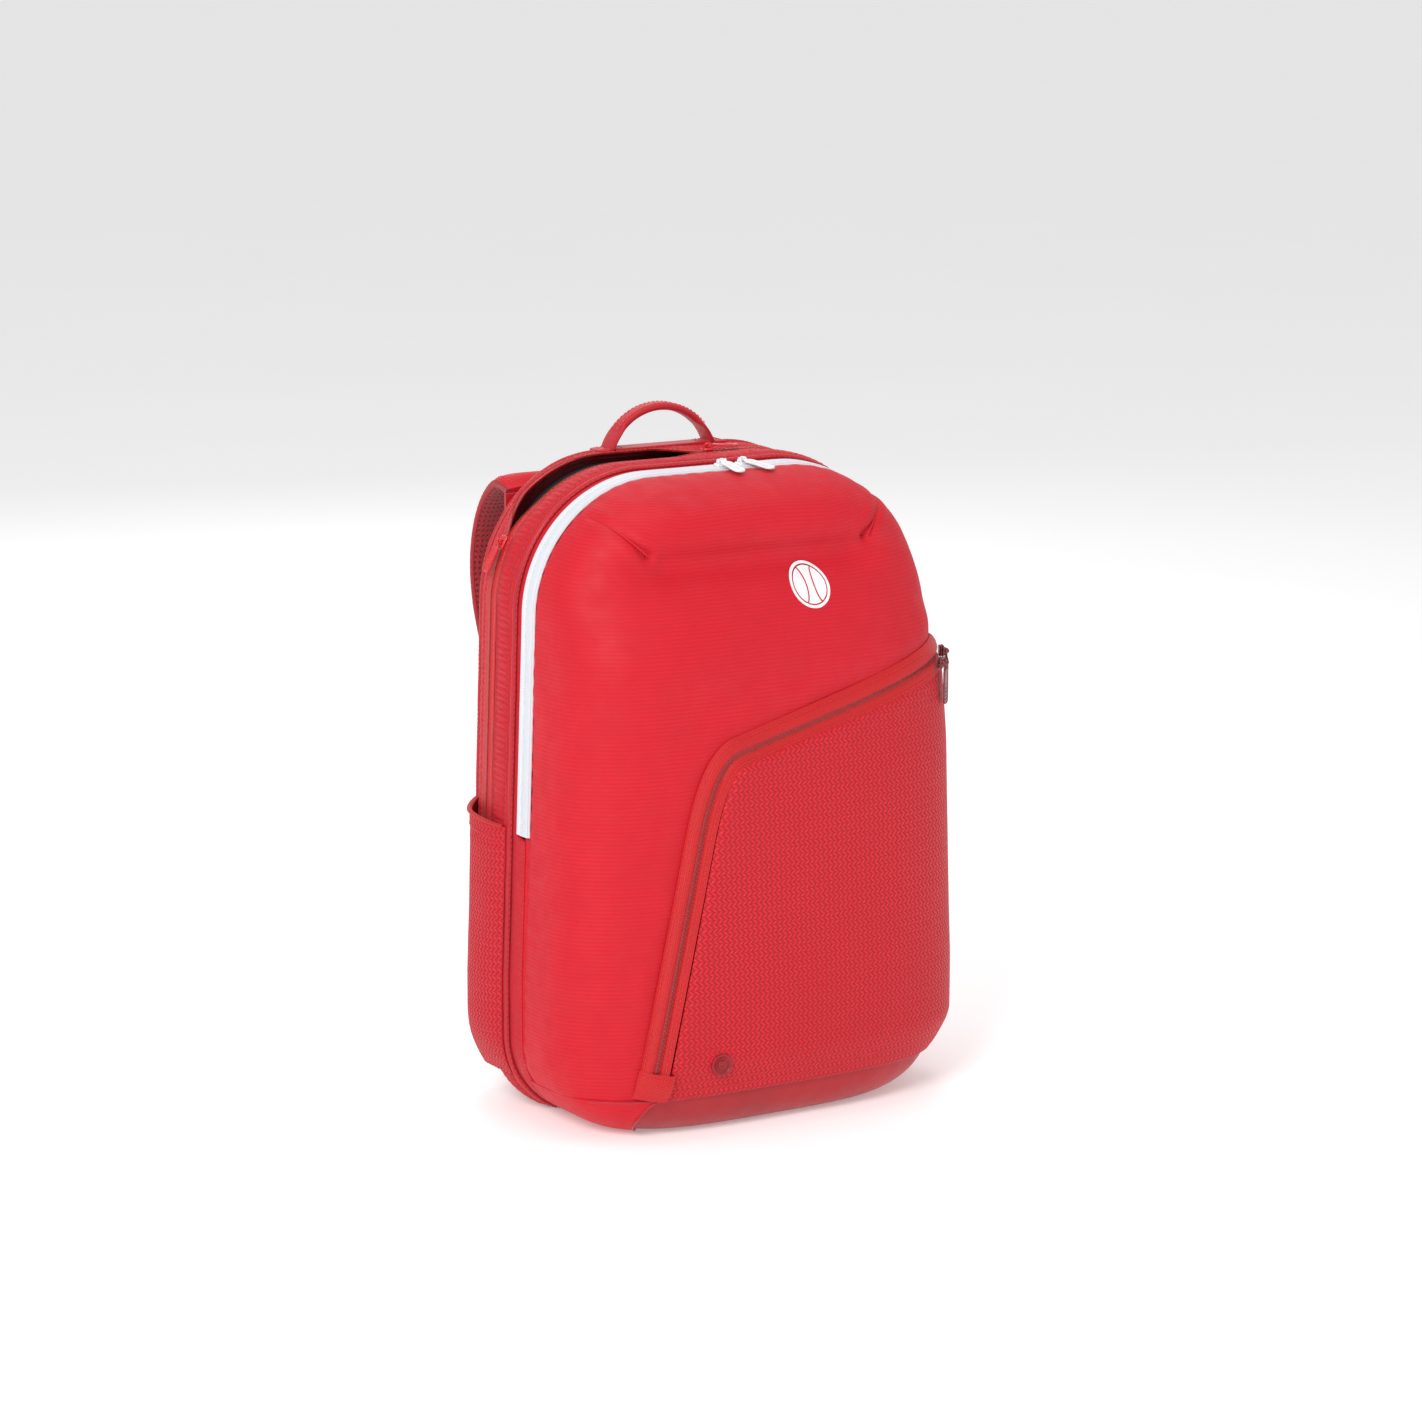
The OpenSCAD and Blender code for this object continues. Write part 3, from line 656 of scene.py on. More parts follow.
def even_columns(count, z=200.0, t0=0.0, t1=180.0):
    """Values of t that are evenly spaced along the skin at height z."""
    t = t0 + (t1 - t0) * (1 - np.cos(np.linspace(0, math.pi, 4001))) / 2
    p = skin(t, z)
    s = run_length(p)
    return np.interp(np.linspace(0, s[-1], count), s, t)


def polyline_distance(points, line):
    """Distance from each point of a grid to a polyline, and the share along it."""
    flat = points.reshape(-1, 3)
    best = np.full(len(flat), 1e9)
    share = np.zeros(len(flat))
    for i, (a, b) in enumerate(zip(line[:-1], line[1:])):
        d = b - a
        t = np.clip(((flat - a) @ d) / (d @ d), 0, 1)
        dist = np.linalg.norm(flat - (a + t[:, None] * d), axis=1)
        closer = dist < best
        best = np.where(closer, dist, best)
        share = np.where(closer, (i + t) / (len(line) - 1), share)
    return best.reshape(points.shape[:-1]), share.reshape(points.shape[:-1])


DART_TIP = (89.0, 414.0)
DART_ROOT = (114.0, 438.6)


def dart_line(side):
    """One of the two darts, from the zip to its tip, as points on the skin."""
    k = np.linspace(0, 1, 22)
    x = DART_ROOT[0] + (DART_TIP[0] - DART_ROOT[0]) * k
    z = DART_ROOT[1] + (DART_TIP[1] - DART_ROOT[1]) * k
    return skin(skin_t(side * x, z), z)


# ---- front of the bag ------------------------------------------------------------------------

def front_relief(grid):
    """Folds, darts and puckers of the front skin, as an offset along its normal."""
    x, y, z = grid[..., 0], grid[..., 1], grid[..., 2]
    off = 1.1 * noise_field(grid, 95, 3) + 0.35 * noise_field(grid, 30, 8)
    edge = EDGE_Y - y
    off += -1.6 * np.exp(-(edge / 6) ** 2)
    along = np.where(z > CORNER_Z,
                     np.degrees(np.arctan2(z - CORNER_Z, np.abs(x) - CORNER_X + 1e-6)) * 1.7, z)
    off += 0.45 * np.sin(along * 2 * math.pi / 13 + 2 * noise_field(grid, 60,
                                                                    5)) * np.exp(-edge / 13)
    middle = smooth((112 - np.abs(x)) / 45)
    off += -7.5 * np.exp(-((z - 405) / 13) ** 2) * middle * smooth((-20 - y) / 25)
    off += 3.2 * np.exp(-((z - 436) / 16) ** 2) * middle
    off += 2.0 * np.exp(-((z - 362) / 24) ** 2) * middle
    for side in (-1, 1):
        line = dart_line(side)
        gap, share = polyline_distance(grid, line)
        off += -(0.8 + 2.4 * share) * np.exp(-(gap / 2.2) ** 2)
        off += (0.5 + 1.0 * share) * np.exp(-((gap - 7) / 4.5) ** 2)
        tip = np.linalg.norm(grid - line[-1], axis=-1)
        off += -3.0 * np.exp(-(tip / 8) ** 2)
    seam = route_distance(x, z)
    off += np.where(seam > 0, 1.2 * np.exp(-((seam - 22) / 9) ** 2), 0)
    off += -0.8 * smooth((60 - z) / 30) * np.exp(-((np.abs(x) - 120) / 30) ** 2)
    off += 0.9 * np.sin(x / 9.0) * np.exp(-((z - 34) / 16) ** 2) * smooth((-60 - x) / 30)
    return off


def build_front_skin():
    """The cloth of the front, with its two darts."""
    zs = np.concatenate([np.arange(BASE_H + 0.5, CORNER_Z, 2.2),
                         CORNER_Z + CORNER_R * np.sin(np.radians(np.linspace(0, 90, 62)))])
    ts = even_columns(230)
    grid = skin(ts[None, :], zs[:, None])
    normals = grid_normals(grid)
    normals[-1] = normals[-2]
    outer = grid + normals * front_relief(grid)[..., None]
    fixed = smooth((EDGE_Y - grid[..., 1]) / 2.0)[..., None]
    outer = grid + (outer - grid) * fixed
    inner = outer - normals * 1.6
    obj = sheet_mesh("front_panel_cloth", outer, inner)
    dress(obj, "body")
    blend_front(obj, "front_panel_upper", "front_panel_lower")
    for side, word in ((-1, "left"), (1, "right")):
        line = dart_line(side)[:-1]
        normal = np.stack([side * 0.35 * np.ones(len(line)), -0.7 * np.ones(len(line)),
                           0.6 * np.ones(len(line))], 1)
        ridge = sweep(f"dart_fold_{word}", line - normal * 1.4, normal, circle_profile(0.7, 8, 0.8))
        fit(ridge, "body", "red_fabric", "front_flap")


def build_pocket():
    """The embossed cloth of the pocket, from its zip to the right edge."""
    rows = []
    foot = ROUTE[0]
    for z in np.arange(BASE_H + 0.5, POCKET_LOW_Z, 2.0):
        rows.append((foot[0] - (foot[1] - z) * LEAN_RUN + 8.5, z))
    tangent = unit(np.gradient(ROUTE, axis=0))
    inset = ROUTE + 8.0 * np.stack([tangent[:, 1], -tangent[:, 0]], 1)
    rows += [(x, z) for x, z in inset if z > POCKET_LOW_Z]
    right_t = 4.0
    cols = 150
    grid, uv = [], []
    for x, z in rows:
        t1 = max(float(skin_t(x, z)), right_t + 1.5)
        ts = even_columns(cols, z, right_t, t1)
        line = skin(ts, z)
        grid.append(line)
        uv.append(run_length(line))
    grid = np.array(grid)
    inside = -route_distance(grid[..., 0], grid[..., 2])
    lift = pocket_off(grid[..., 2])
    lift = lift - 2.6 * np.exp(-np.maximum(0, inside - 8) / 2.2)
    lift = lift + 1.6 * smooth((inside - 10) / 60) + 0.8 * noise_field(grid, 80, 21)
    lift = lift - 1.5 * np.exp(-((grid[..., 2] - BASE_H) / 4) ** 2)
    right = np.array(uv) / 14
    lift = lift - 6.0 * np.exp(-right ** 2)
    normals = grid_normals(grid)
    flat = normals.copy()
    flat[..., 2] = 0
    flat = unit(flat)
    outer = grid + flat * lift[..., None]
    inner = outer - flat * 1.8
    obj = sheet_mesh("pocket_cloth", outer, inner)
    layer = obj.data.uv_layers.active
    index = np.zeros(len(obj.data.loops), np.int32)
    obj.data.loops.foreach_get("vertex_index", index)
    plan = np.stack([np.array(uv), grid[..., 2]], -1).reshape(-1, 2) * MM
    layer.data.foreach_set("uv", np.vstack([plan, plan])[index].ravel().astype(np.float32))
    dress(obj, "pocket")
    blend_front(obj, "pocket_panel_upper", "pocket_panel_lower")


def beside_route(s, lift, route=None):
    """Points beside the pocket zip, s millimetres to its outer side, lifted off the skin."""
    route = ROUTE if route is None else route
    tangent = unit(np.gradient(route, axis=0))
    p = route + s * np.stack([-tangent[:, 1], tangent[:, 0]], 1)
    x = np.minimum(p[:, 0], half_w(p[:, 1]) - 0.6)
    return skin(skin_t(x, p[:, 1]), p[:, 1], lift)


def band_beside_route(name, stations, thick=1.1):
    """A cloth band along the pocket zip through [side, lift] stations."""
    outer = np.stack([beside_route(s, lift) for s, lift in stations], 1)
    normals = grid_normals(outer)
    return sheet_mesh(name, outer, outer - normals * thick)


OUTER_TAPE = [(1.7, 4.6), (2.6, 5.6), (4.0, 5.7), (7.0, 4.9), (9.5, 3.4), (11.2, 2.2), (12.2, 0.9)]
INNER_TAPE = [(-9.5, 8.0), (-7.5, 7.6), (-4.5, 6.6), (-3.0, 6.1), (-1.7, 4.6)]


def blend_front(obj, *nodes):
    """Bakes a front piece's placing into its mesh, and hides the CAD nodes that it replaces."""
    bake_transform(obj)
    if nodes:
        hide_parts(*nodes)
    return obj


def build_pocket_zip():
    """The pocket zip: two tapes, the coil on its bed, and stitches."""
    outer = band_beside_route("pocket_tape_outer", OUTER_TAPE)
    inner = band_beside_route("pocket_tape_inner", INNER_TAPE)
    for tape in (outer, inner):
        dress(tape, "tape")
    blend_front(outer, "pocket_zip_tape_upper", "pocket_zip_tape_lower")
    blend_front(inner)
    line = beside_route(0, COIL_LIFT)
    normals = beside_route(0, COIL_LIFT + 1) - line
    coil = coil_teeth("pocket_coil", line, normals, 1.45, 3.2, 0.85)
    bed = band_beside_route("pocket_coil_bed", [(1.9, 4.3), (0, 4.2), (-1.9, 4.3)], 0.5)
    dress(coil, "coil")
    dress(bed, "coil")
    blend_front(coil, "pocket_zip_coil_upper", "pocket_zip_coil_lower")
    blend_front(bed)
    for word, s, lift in (("outer", 9.6, 3.6), ("inner", -6.6, 7.6)):
        clear = ROUTE[:, 0] < 120
        seam_line = beside_route(s, lift)[clear]
        seam = stitches(f"pocket_stitches_{word}", seam_line,
                        beside_route(s, lift + 1)[clear] - seam_line)
        dress(seam, "thread")
        blend_front(seam)


def build_garage():
    """The patch over the lower end of the pocket zip."""
    z = np.linspace(BASE_H + 1.5, POCKET_LOW_Z + 3.5, 14)
    route = np.stack([ROUTE[0][0] - (ROUTE[0][1] - z) * LEAN_RUN, z], 1)
    stations = [(-11, 8.6), (-8, 8.9), (-4, 8.2), (0, 7.4), (4, 6.6), (8, 5.0), (11, 3.0),
                (12.5, 1.0)]
    grid = np.stack([beside_route(s, 1.0, route) for s, _ in stations], 1)
    normals = grid_normals(grid)
    fall = smooth((z - BASE_H) / 16)[:, None]
    lift = np.array([h for _, h in stations])[None, :] * (0.35 + 0.65 * fall)
    outer = grid + normals * lift[..., None]
    patch = sheet_mesh("zip_garage_patch", outer, outer - normals * 1.4)
    fit(patch, "tape", "red_tape", "bag", "zip_garage")
    across = outer[-3, 1:-1] + normals[-3, 1:-1] * 0.1
    bar = stitches("zip_garage_stitches", across, normals[-3, 1:-1], 2.2, 1.7)
    fit(bar, "thread", "red_tape", "bag")


# ---- gussets, seams and base -----------------------------------------------------------------

REAR_TAPER = 0.085


def narrow(y):
    """Share of the bag's width that is left at a depth y: the soft back edge turns inward."""
    return 1 - REAR_TAPER * smooth((np.asarray(y, float) - 60.0) / 42.0)


def arch_grid(line, ys, off):
    """Points across the gusset for each point of the outline: off is an offset along the normal."""
    n = len(line)
    grid = np.zeros((n, np.shape(ys)[-1], 3))
    normal = np.zeros((n, 1, 3))
    normal[:, 0, 0], normal[:, 0, 2] = line[:, 2], line[:, 3]
    grid[..., 0], grid[..., 2] = line[:, :1], line[:, 1:2]
    grid[..., 1] = ys
    grid = grid + normal * off[..., None]
    grid[..., 0] *= narrow(grid[..., 1])
    return grid, np.broadcast_to(normal, grid.shape)


def arch_length(line):
    return np.concatenate([[0], np.cumsum(np.hypot(np.diff(line[:, 0]), np.diff(line[:, 1])))])


def arch_band(name, y0, y1, grow, z0, relief, cols=12, spacing=2.0, thick=1.6):
    """A gusset of cloth between two depths. relief(s, k, points) is its offset; k runs 0 to 1 front to rear."""
    line = arch(grow, z0, spacing)
    ks = np.linspace(0, 1, cols)
    s = arch_length(line)[:, None]
    n = len(line)
    front = y0(s) if callable(y0) else np.full((n, 1), y0)
    rear = y1(s) if callable(y1) else np.full((n, 1), y1)
    ys = front + (rear - front) * ks[None, :]
    flat, _ = arch_grid(line, ys, np.zeros((n, cols)))
    off = relief(s, ks[None, :], flat)
    outer, normal = arch_grid(line, ys, np.broadcast_to(off, (n, cols)))
    outer, normal = outer[:, ::-1], normal[:, ::-1]
    return sheet_mesh(name, outer, outer - normal * thick)


GUSSET_LINE = arch(RIB_GROW, 3.0, 2.0)
GUSSET_S = arch_length(GUSSET_LINE)


def gusset_s(x, z):
    """Distance round the gusset from its middle at the top to a point [x, z]."""
    return GUSSET_S[np.argmin(np.hypot(GUSSET_LINE[:, 0] - x,
                                       GUSSET_LINE[:, 1] - z))] - GUSSET_S[-1] / 2


SLIDER_TOP = np.array(JOINTS["racket_pull_top_swing"]["pos_m"]) / MM
SLIDER_SIDE = np.array(JOINTS["racket_pull_side_swing"]["pos_m"]) / MM
S_TOP = gusset_s(SLIDER_TOP[0], SLIDER_TOP[2])
S_SIDE = gusset_s(SLIDER_SIDE[0], SLIDER_SIDE[2])


def mouth(s):
    """0 where the racket zip is closed, up to 1 in the middle of its open stretch."""
    m = s - np.max(s) / 2
    return smooth((m - S_TOP - 3) / 34) * smooth((S_SIDE - 3 - m) / 40)


FRONT_LIP, REAR_LIP = -1.8, 1.6


def crowned(crown, noise_amp=0.5, ribs=0.0, pitch=4.6, seed=1.0, lip=0.0, edge=0.0):
    """A relief that bulges between its two seams, with ribs across the band."""
    def relief(s, k, points):
        off = crown * np.sin(math.pi * np.clip(k, 0, 1)) ** 0.7
        off = off + noise_amp * noise_field(points, 45, seed)
        window = smooth((k - 0.08) / 0.14) * smooth((0.92 - k) / 0.14)
        off = off + ribs * np.sin(2 * math.pi * s / pitch + 0.8 * noise_field(points, 30,
                                                                              seed + 4)) * window
        if lip:
            off = off + lip * mouth(s) * k ** 2
        if edge:
            off = off + edge * mouth(s) * (1 - k) ** 2
        return off
    return relief


def rear_edge(s):
    return 66.0 - 0.2 + 17.2 * mouth(s)


def build_gussets():
    """The cloth bands round the bag, between its zips."""
    strip = arch_band("main_gusset_cloth", lambda s: np.where(below_flap(s), EDGE_Y - 0.4, 14.6),
                      23.2, 0.5, 2.0,
                      crowned(0.9, 0.4, 0.25, 5.2, 2), 10)
    fit(strip, "side", "red_fabric", "bag", "main_gusset")
    ribbed = arch_band("ribbed_gusset_cloth", 24.6, 50.4, RIB_GROW - 0.4, 3.0,
                       crowned(2.0, 0.7, 0.42, 4.8, 7, lip=FRONT_LIP), 18, 1.15)
    fit(ribbed, "side", "red_fabric", "bag", "ribbed_gusset")
    rear = arch_band("rear_gusset_cloth", rear_edge, 90.3, RIB_GROW - 0.4, BASE_H - 1.0,
                     crowned(2.2, 0.8, 0.3, 5.6, 11, edge=REAR_LIP), 16, 1.5)
    fit(rear, "side", "red_fabric", "bag", "rear_gusset")


def below_flap(s):
    """True along the stretches of the front gusset under the ends of the main zip."""
    line = arch(0.5, 2.0, 2.0)
    z = np.interp(s, arch_length(line), line[:, 1])
    return z < FLAP_Z - 1


def build_piping():
    """The corded seams round the bag."""
    for name, node, y, grow in (("seam_piping_mid_cord", "seam_piping_mid", 24.0, 1.2),
                                ("seam_piping_back_cord", "seam_piping_back", 91.0, RIB_GROW)):
        line = arch(grow, BASE_H + 0.4 if node == "seam_piping_back" else 3.0, 1.6)
        line[:, 0] *= narrow(y)
        path = np.stack([line[:, 0], np.full(len(line), y), line[:, 1]], 1)
        normals = np.stack([line[:, 2], np.zeros(len(line)), line[:, 3]], 1)
        wobble = 0.35 * noise_field(path, 22, 31)[:,
                                                  None] + 0.12 * np.sin(arch_length(line) * 2 * math.pi / 3.1)[:, None]
        cord = sweep(name, path + normals * (0.9 + wobble), normals, circle_profile(2.1, 12, 1.05))
        fit(cord, "piping", "base_fabric", "bag", node)
        for k, dy in enumerate((-3.4, 3.6)):
            if node == "seam_piping_back" and dy > 0:
                continue
            base = 1.7 if dy < 0 and node == "seam_piping_mid" else 3.4 if node == "seam_piping_mid" else 1.3
            seam_path = path + normals * base + np.array([0, dy, 0])
            seam = stitches(f"{name}_stitches_{k + 1}", seam_path, normals, 4.4, 3.0, 0.6)
            fit(seam, "thread", "base_fabric", "bag")


TAPE_GROW = RIB_GROW - 0.6
TAPE_FOOT = BASE_H - 1.0


def zip_half(name, edge, inner_edge, relief):
    """One tape of the racket zip, which follows the outline."""
    band = arch_band(name, edge, inner_edge, TAPE_GROW, TAPE_FOOT, relief, 6, 2.0, 1.0)
    fit(band, "tape", "red_tape", "bag")
    return band


def build_racket_zip():
    """The racket zip, which is open at its mouth."""
    def front_edge(s):
        return RACKET_Y - 0.5 - 4.2 * mouth(s)

    def rear_tape_edge(s):
        return RACKET_Y + 0.5 + 20.0 * mouth(s)

    def tape_relief(s, k):
        return 0.4 + 0.9 * np.abs(k - 0.5) + 0 * s

    front = zip_half("racket_tape_front", lambda s: 49.8 + 0 * s, front_edge,
                     lambda s, k, p: tape_relief(s, k) + FRONT_LIP * mouth(s))
    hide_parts("racket_zip_tape_front")
    rear = zip_half("racket_tape_rear", rear_tape_edge, lambda s: rear_edge(s) + 0.8,
                    lambda s, k, p: tape_relief(s, k) + REAR_LIP * mouth(s))
    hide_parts("racket_zip_tape_rear")
    line = arch(TAPE_GROW, TAPE_FOOT, 1.2)
    s = arch_length(line)
    normals = np.stack([line[:, 2], np.zeros(len(line)), line[:, 3]], 1)
    first = None
    for word, edge, rise in (("front", front_edge(s) + 0.3, FRONT_LIP),
                             ("rear", rear_tape_edge(s) - 0.3, REAR_LIP)):
        path = np.stack([line[:, 0], edge, line[:, 1]], 1) + normals * (0.9 + rise * mouth(s))[:,
                                                                                               None]
        teeth = coil_teeth(f"racket_coil_{word}", path, normals, 1.5, 2.0, 0.9, 0.1, 0.0)
        fit(teeth, "coil", "red_coil", "bag")
        first = first or teeth
    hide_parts("racket_zip_coil")
    for word, y_of, rise in (("front", lambda v: 51.4 + 0 * v, FRONT_LIP),
                             ("rear", lambda v: rear_edge(v) - 1.4, REAR_LIP)):
        path = np.stack([line[:, 0], y_of(s), line[:, 1]], 1) + normals * (1.0 + rise * mouth(s))[:,
                                                                                                  None]
        seam = stitches(f"racket_tape_stitches_{word}", path, normals, 3.8, 2.7, 0.6)
        fit(seam, "light_thread", "red_tape", "bag")


def main_zip_line():
    """Outline of the main zip, above the line where the flap bends."""
    line = arch(0.3, 3.0, 1.5)
    return line[line[:, 1] > FLAP_Z + 0.5]


def build_main_zip():
    """The white main zip: its front half is baked in place and its rear half rides on the bag."""
    line = main_zip_line()
    n = len(line)
    for word, edges, lifts, node in (("front", (-0.4, 1.0, 7.6, 9.75), (-0.2, 1.3, 1.6, 0.8),
                                      "main_zip_tape_front"),
                                     ("rear", (10.25, 12.0, 15.2, 16.4), (0.8, 1.6, 1.5, 0.3),
                                      "main_zip_tape_rear")):
        ys = np.broadcast_to(np.array(edges), (n, 4))
        off = np.broadcast_to(np.array(lifts), (n, 4)).copy()
        outer, normal = arch_grid(line, ys, off)
        outer, normal = outer[:, ::-1], normal[:, ::-1]
        tape = sheet_mesh(f"main_tape_{word}", outer, outer - normal * 0.9)
        dress(tape, "white_tape")
        normals = normal[:, 0]
        path = np.stack([line[:, 0], np.full(n, 9.35 if word == "front" else 10.65), line[:, 1]],
                        1) + normals * 0.75
        coil = coil_teeth(f"main_coil_{word}", path, normals, 1.5, 1.5, 1.0, 0.1, 0.0)
        dress(coil, "white_coil")
        if word == "front":
            blend_front(tape, node)
            blend_front(coil, "main_zip_coil_front")
        else:
            for piece, hidden in ((tape, node), (coil, "main_zip_coil_rear")):
                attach(piece, "bag")
                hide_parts(hidden)


def base_loop(z, inset=0.0, count=220):
    """Outline of the base at height z, clockwise from above, as [x, y]."""
    def round_in(r):
        return r - math.sqrt(r * r - (r - z) ** 2) if z < r else 0.0

    w = float(half_w(z)) - inset
    d = FRONT + EDGE_Y - round_in(28.0) - inset
    t = np.radians(np.linspace(0, 180, count))
    e = 2 / PLAN_POWER
    front = np.stack([w * np.sign(np.cos(t)) * np.abs(np.cos(t)) ** e,
                      EDGE_Y - d * np.abs(np.sin(t)) ** e], 1)
    rear = BACK_Y - round_in(14.0) - inset
    r = 18.0
    turn = [(w - r + r * math.cos(a), rear - r + r * math.sin(a))
            for a in np.linspace(math.pi / 2, 0, 12)]
    other = [(-x, y) for x, y in turn[::-1]]
    loop = np.vstack([front, other, turn])
    loop[:, 0] *= narrow(loop[:, 1])
    closed = np.vstack([loop, loop[:1]])
    return resample(closed,
                    np.linalg.norm(np.diff(closed, axis=0), axis=1).sum() / count)[0][:count]


def build_base():
    """The coated tub under the bag."""
    rings = []
    for f in (0.02, 0.35, 0.7, 0.9, 0.97):
        rings.append(np.column_stack([base_loop(0.0) * f + np.array([0, 12.0 * (1 - f)]),
                                      np.full(220, 0.05)]))
    for z in np.concatenate([[0.05, 0.6, 1.6, 3.2], np.arange(5.5, BASE_H + 1.0, 2.6)]):
        rings.append(np.column_stack([base_loop(z), np.full(220, z)]))
    grid = np.array(rings)
    normals = grid_normals(grid, loop=True)
    relief = 0.5 * noise_field(grid, 60, 41) * smooth(grid[..., 2] / 8)
    outer = grid + normals * relief[..., None]
    inner = outer - normals * 1.6
    obj = sheet_mesh("base_cloth", outer, inner, loop=True)
    fit(obj, "base", "base_fabric", "bag", "base_panel")
    t = even_columns(200, BASE_H, 3, 150)
    path = skin(t, np.full(len(t), BASE_H + 0.2), 0.6)
    outward = skin(t, np.full(len(t), BASE_H + 0.2), 2.0) - path
    seam = sweep("base_seam_cord", path, unit(outward), circle_profile(1.1, 8))
    fit(seam, "piping", "base_fabric", "bag")


# ---- stage -----------------------------------------------------------------------------------

VIEW_AZIMUTH, VIEW_ELEVATION = -30.0, 12.0
AIM = Vector((-0.0056, 0.0032, 0.285))
CAMERA_DISTANCE = 3.0
FRAME_WIDTH = 1.023


def build_stage():
    """The floor, the background and the lights."""
    world = bpy.data.worlds.new("studio")
    bpy.context.scene.world = world
    world.use_nodes = True
    world.node_tree.nodes["Background"].inputs["Color"].default_value = (1.0, 1.0, 1.0, 1.0)
    world.node_tree.nodes["Background"].inputs["Strength"].default_value = 0.56
    mesh = bpy.data.meshes.new("studio_floor")
    half = 60.0
    mesh.from_pydata([(-half, -half, 0), (half, -half, 0), (half, half, 0), (-half, half, 0)], [],
                     [(0, 1, 2, 3)])
    floor = bpy.data.objects.new("studio_floor", mesh)
    bpy.context.scene.collection.objects.link(floor)
    g = Graph("pale_floor", Roughness=0.7, Emission_Strength=0.26)
    g.shader.inputs["Emission Color"].default_value = (1.0, 1.0, 1.0, 1.0)
    g.colour(g.mix_colour(g.noise(3, 2), (0.90, 0.90, 0.90), (0.93, 0.93, 0.93)))
    mesh.materials.append(g.material)

    def area(name, place, size, power):
        light = bpy.data.lights.new(name, "AREA")
        light.size = size
        light.energy = power
        lamp = bpy.data.objects.new(name, light)
        lamp.location = place
        lamp.rotation_euler = (Vector((0, 0, 0.25)) - lamp.location).to_track_quat("-Z",
                                                                                   "Y").to_euler()
        bpy.context.scene.collection.objects.link(lamp)

    area("key", (-1.9, -1.5, 1.9), 1.1, 50)
    area("fill", (1.8, -1.8, 0.9), 1.6, 6)
    area("top", (0.2, 0.3, 2.4), 1.4, 12)
    area("rear", (0.6, 2.2, 1.4), 1.4, 8)


def build_camera():
    """The camera of the main view."""
    a, e = math.radians(VIEW_AZIMUTH), math.radians(VIEW_ELEVATION)
    away = Vector((math.sin(a) * math.cos(e), -math.cos(a) * math.cos(e), math.sin(e)))
    data = bpy.data.cameras.new("camera")
    data.sensor_width = 36.0
    data.lens = 36.0 * CAMERA_DISTANCE / FRAME_WIDTH
    camera = bpy.data.objects.new("camera", data)
    camera.location = AIM + away * CAMERA_DISTANCE
    camera.rotation_euler = (-away).to_track_quat("-Z", "Y").to_euler()
    bpy.context.scene.collection.objects.link(camera)
    bpy.context.scene.camera = camera
    bpy.context.scene.view_settings.view_transform = "Standard"


# ---- side pockets, back and straps -----------------------------------------------------------

def quad_patch(name, corners, relief, rows, cols, thick):
    """A closed cloth patch over four corners, given as [low first, low last, high first, high last]."""
    a, b, c, d = (np.array(p, float) for p in corners)
    u = np.linspace(0, 1, cols)[None, :, None]
    v = np.linspace(0, 1, rows)[:, None, None]
    grid = (a * (1 - u) + b * u) * (1 - v) + (c * (1 - u) + d * u) * v
    normals = grid_normals(grid)
    outer = grid + normals * relief(u[..., 0], v[..., 0], grid)[..., None]
    return sheet_mesh(name, outer, outer - normals * thick), outer, normals


def build_side_pocket(side, word):
    """A slip pocket on one side."""
    front, rear, foot = 25.4, 88.2, BASE_H + 0.6

    def surface(u, v):
        y = front + (rear - front) * u
        top = 217.0 + 8.0 * (u - 0.5)
        z = foot + (top - foot) * v
        y = y + 0 * z
        crown = np.clip(np.sin(np.pi * u), 0, 1) ** 0.62 * (0.35 + 0.65 * smooth((z - foot) / 45))
        spot = np.stack([side * half_w(z), y, z], -1)
        puff = 8.6 * crown + 1.3 * noise_field(spot, 40, 61 + side) * crown
        puff += 1.0 * smooth((v - 0.86) / 0.14) * crown - 0.8 * np.exp(-((v - 0.93) / 0.012) ** 2) * crown
        x = side * (half_w(z) + RIB_GROW + 1.3 + puff) * narrow(y)
        return np.stack([x, y + 0 * z, z], -1)

    us = np.linspace(0, 1, 44)
    us = us[::-1] if side > 0 else us
    grid = surface(us[None, :], np.linspace(0, 1, 96)[:, None])
    normals = grid_normals(grid)
    obj = sheet_mesh(f"side_pocket_cloth_{word}", grid, grid - normals * 1.5)
    fit(obj, "panel", "red_fabric", "bag", f"side_pocket_{word}")
    hem = grid[-1, 1:-1] + np.array([0, 0, 0.4])
    binding = sweep(f"side_pocket_hem_{word}", hem, normals[-1, 1:-1],
                    circle_profile(1.35, 10, 1.5))
    fit(binding, "tape", "red_tape", "bag")
    for k, row in enumerate((-6, -8)):
        seam = stitches(f"side_pocket_stitches_{word}_{k + 1}", grid[row, 2:-2], normals[row, 2:-2],
                        3.6, 2.5, 0.6)
        fit(seam, "thread", "red_tape", "bag")


def outline_width(z, grow):
    """Half width of the back panel at height z."""
    z = np.asarray(z, float)
    foot = BASE_X + np.sqrt(np.maximum(0, (BASE_R + grow) ** 2 - (BASE_R - z) ** 2))
    head = CORNER_X + np.sqrt(np.maximum(0, (CORNER_R + grow) ** 2 - (z - CORNER_Z) ** 2))
    return np.where(z < BASE_R, foot,
                    np.where(z < CORNER_Z, half_w(np.clip(z, BASE_R, CORNER_Z)) + grow, head))


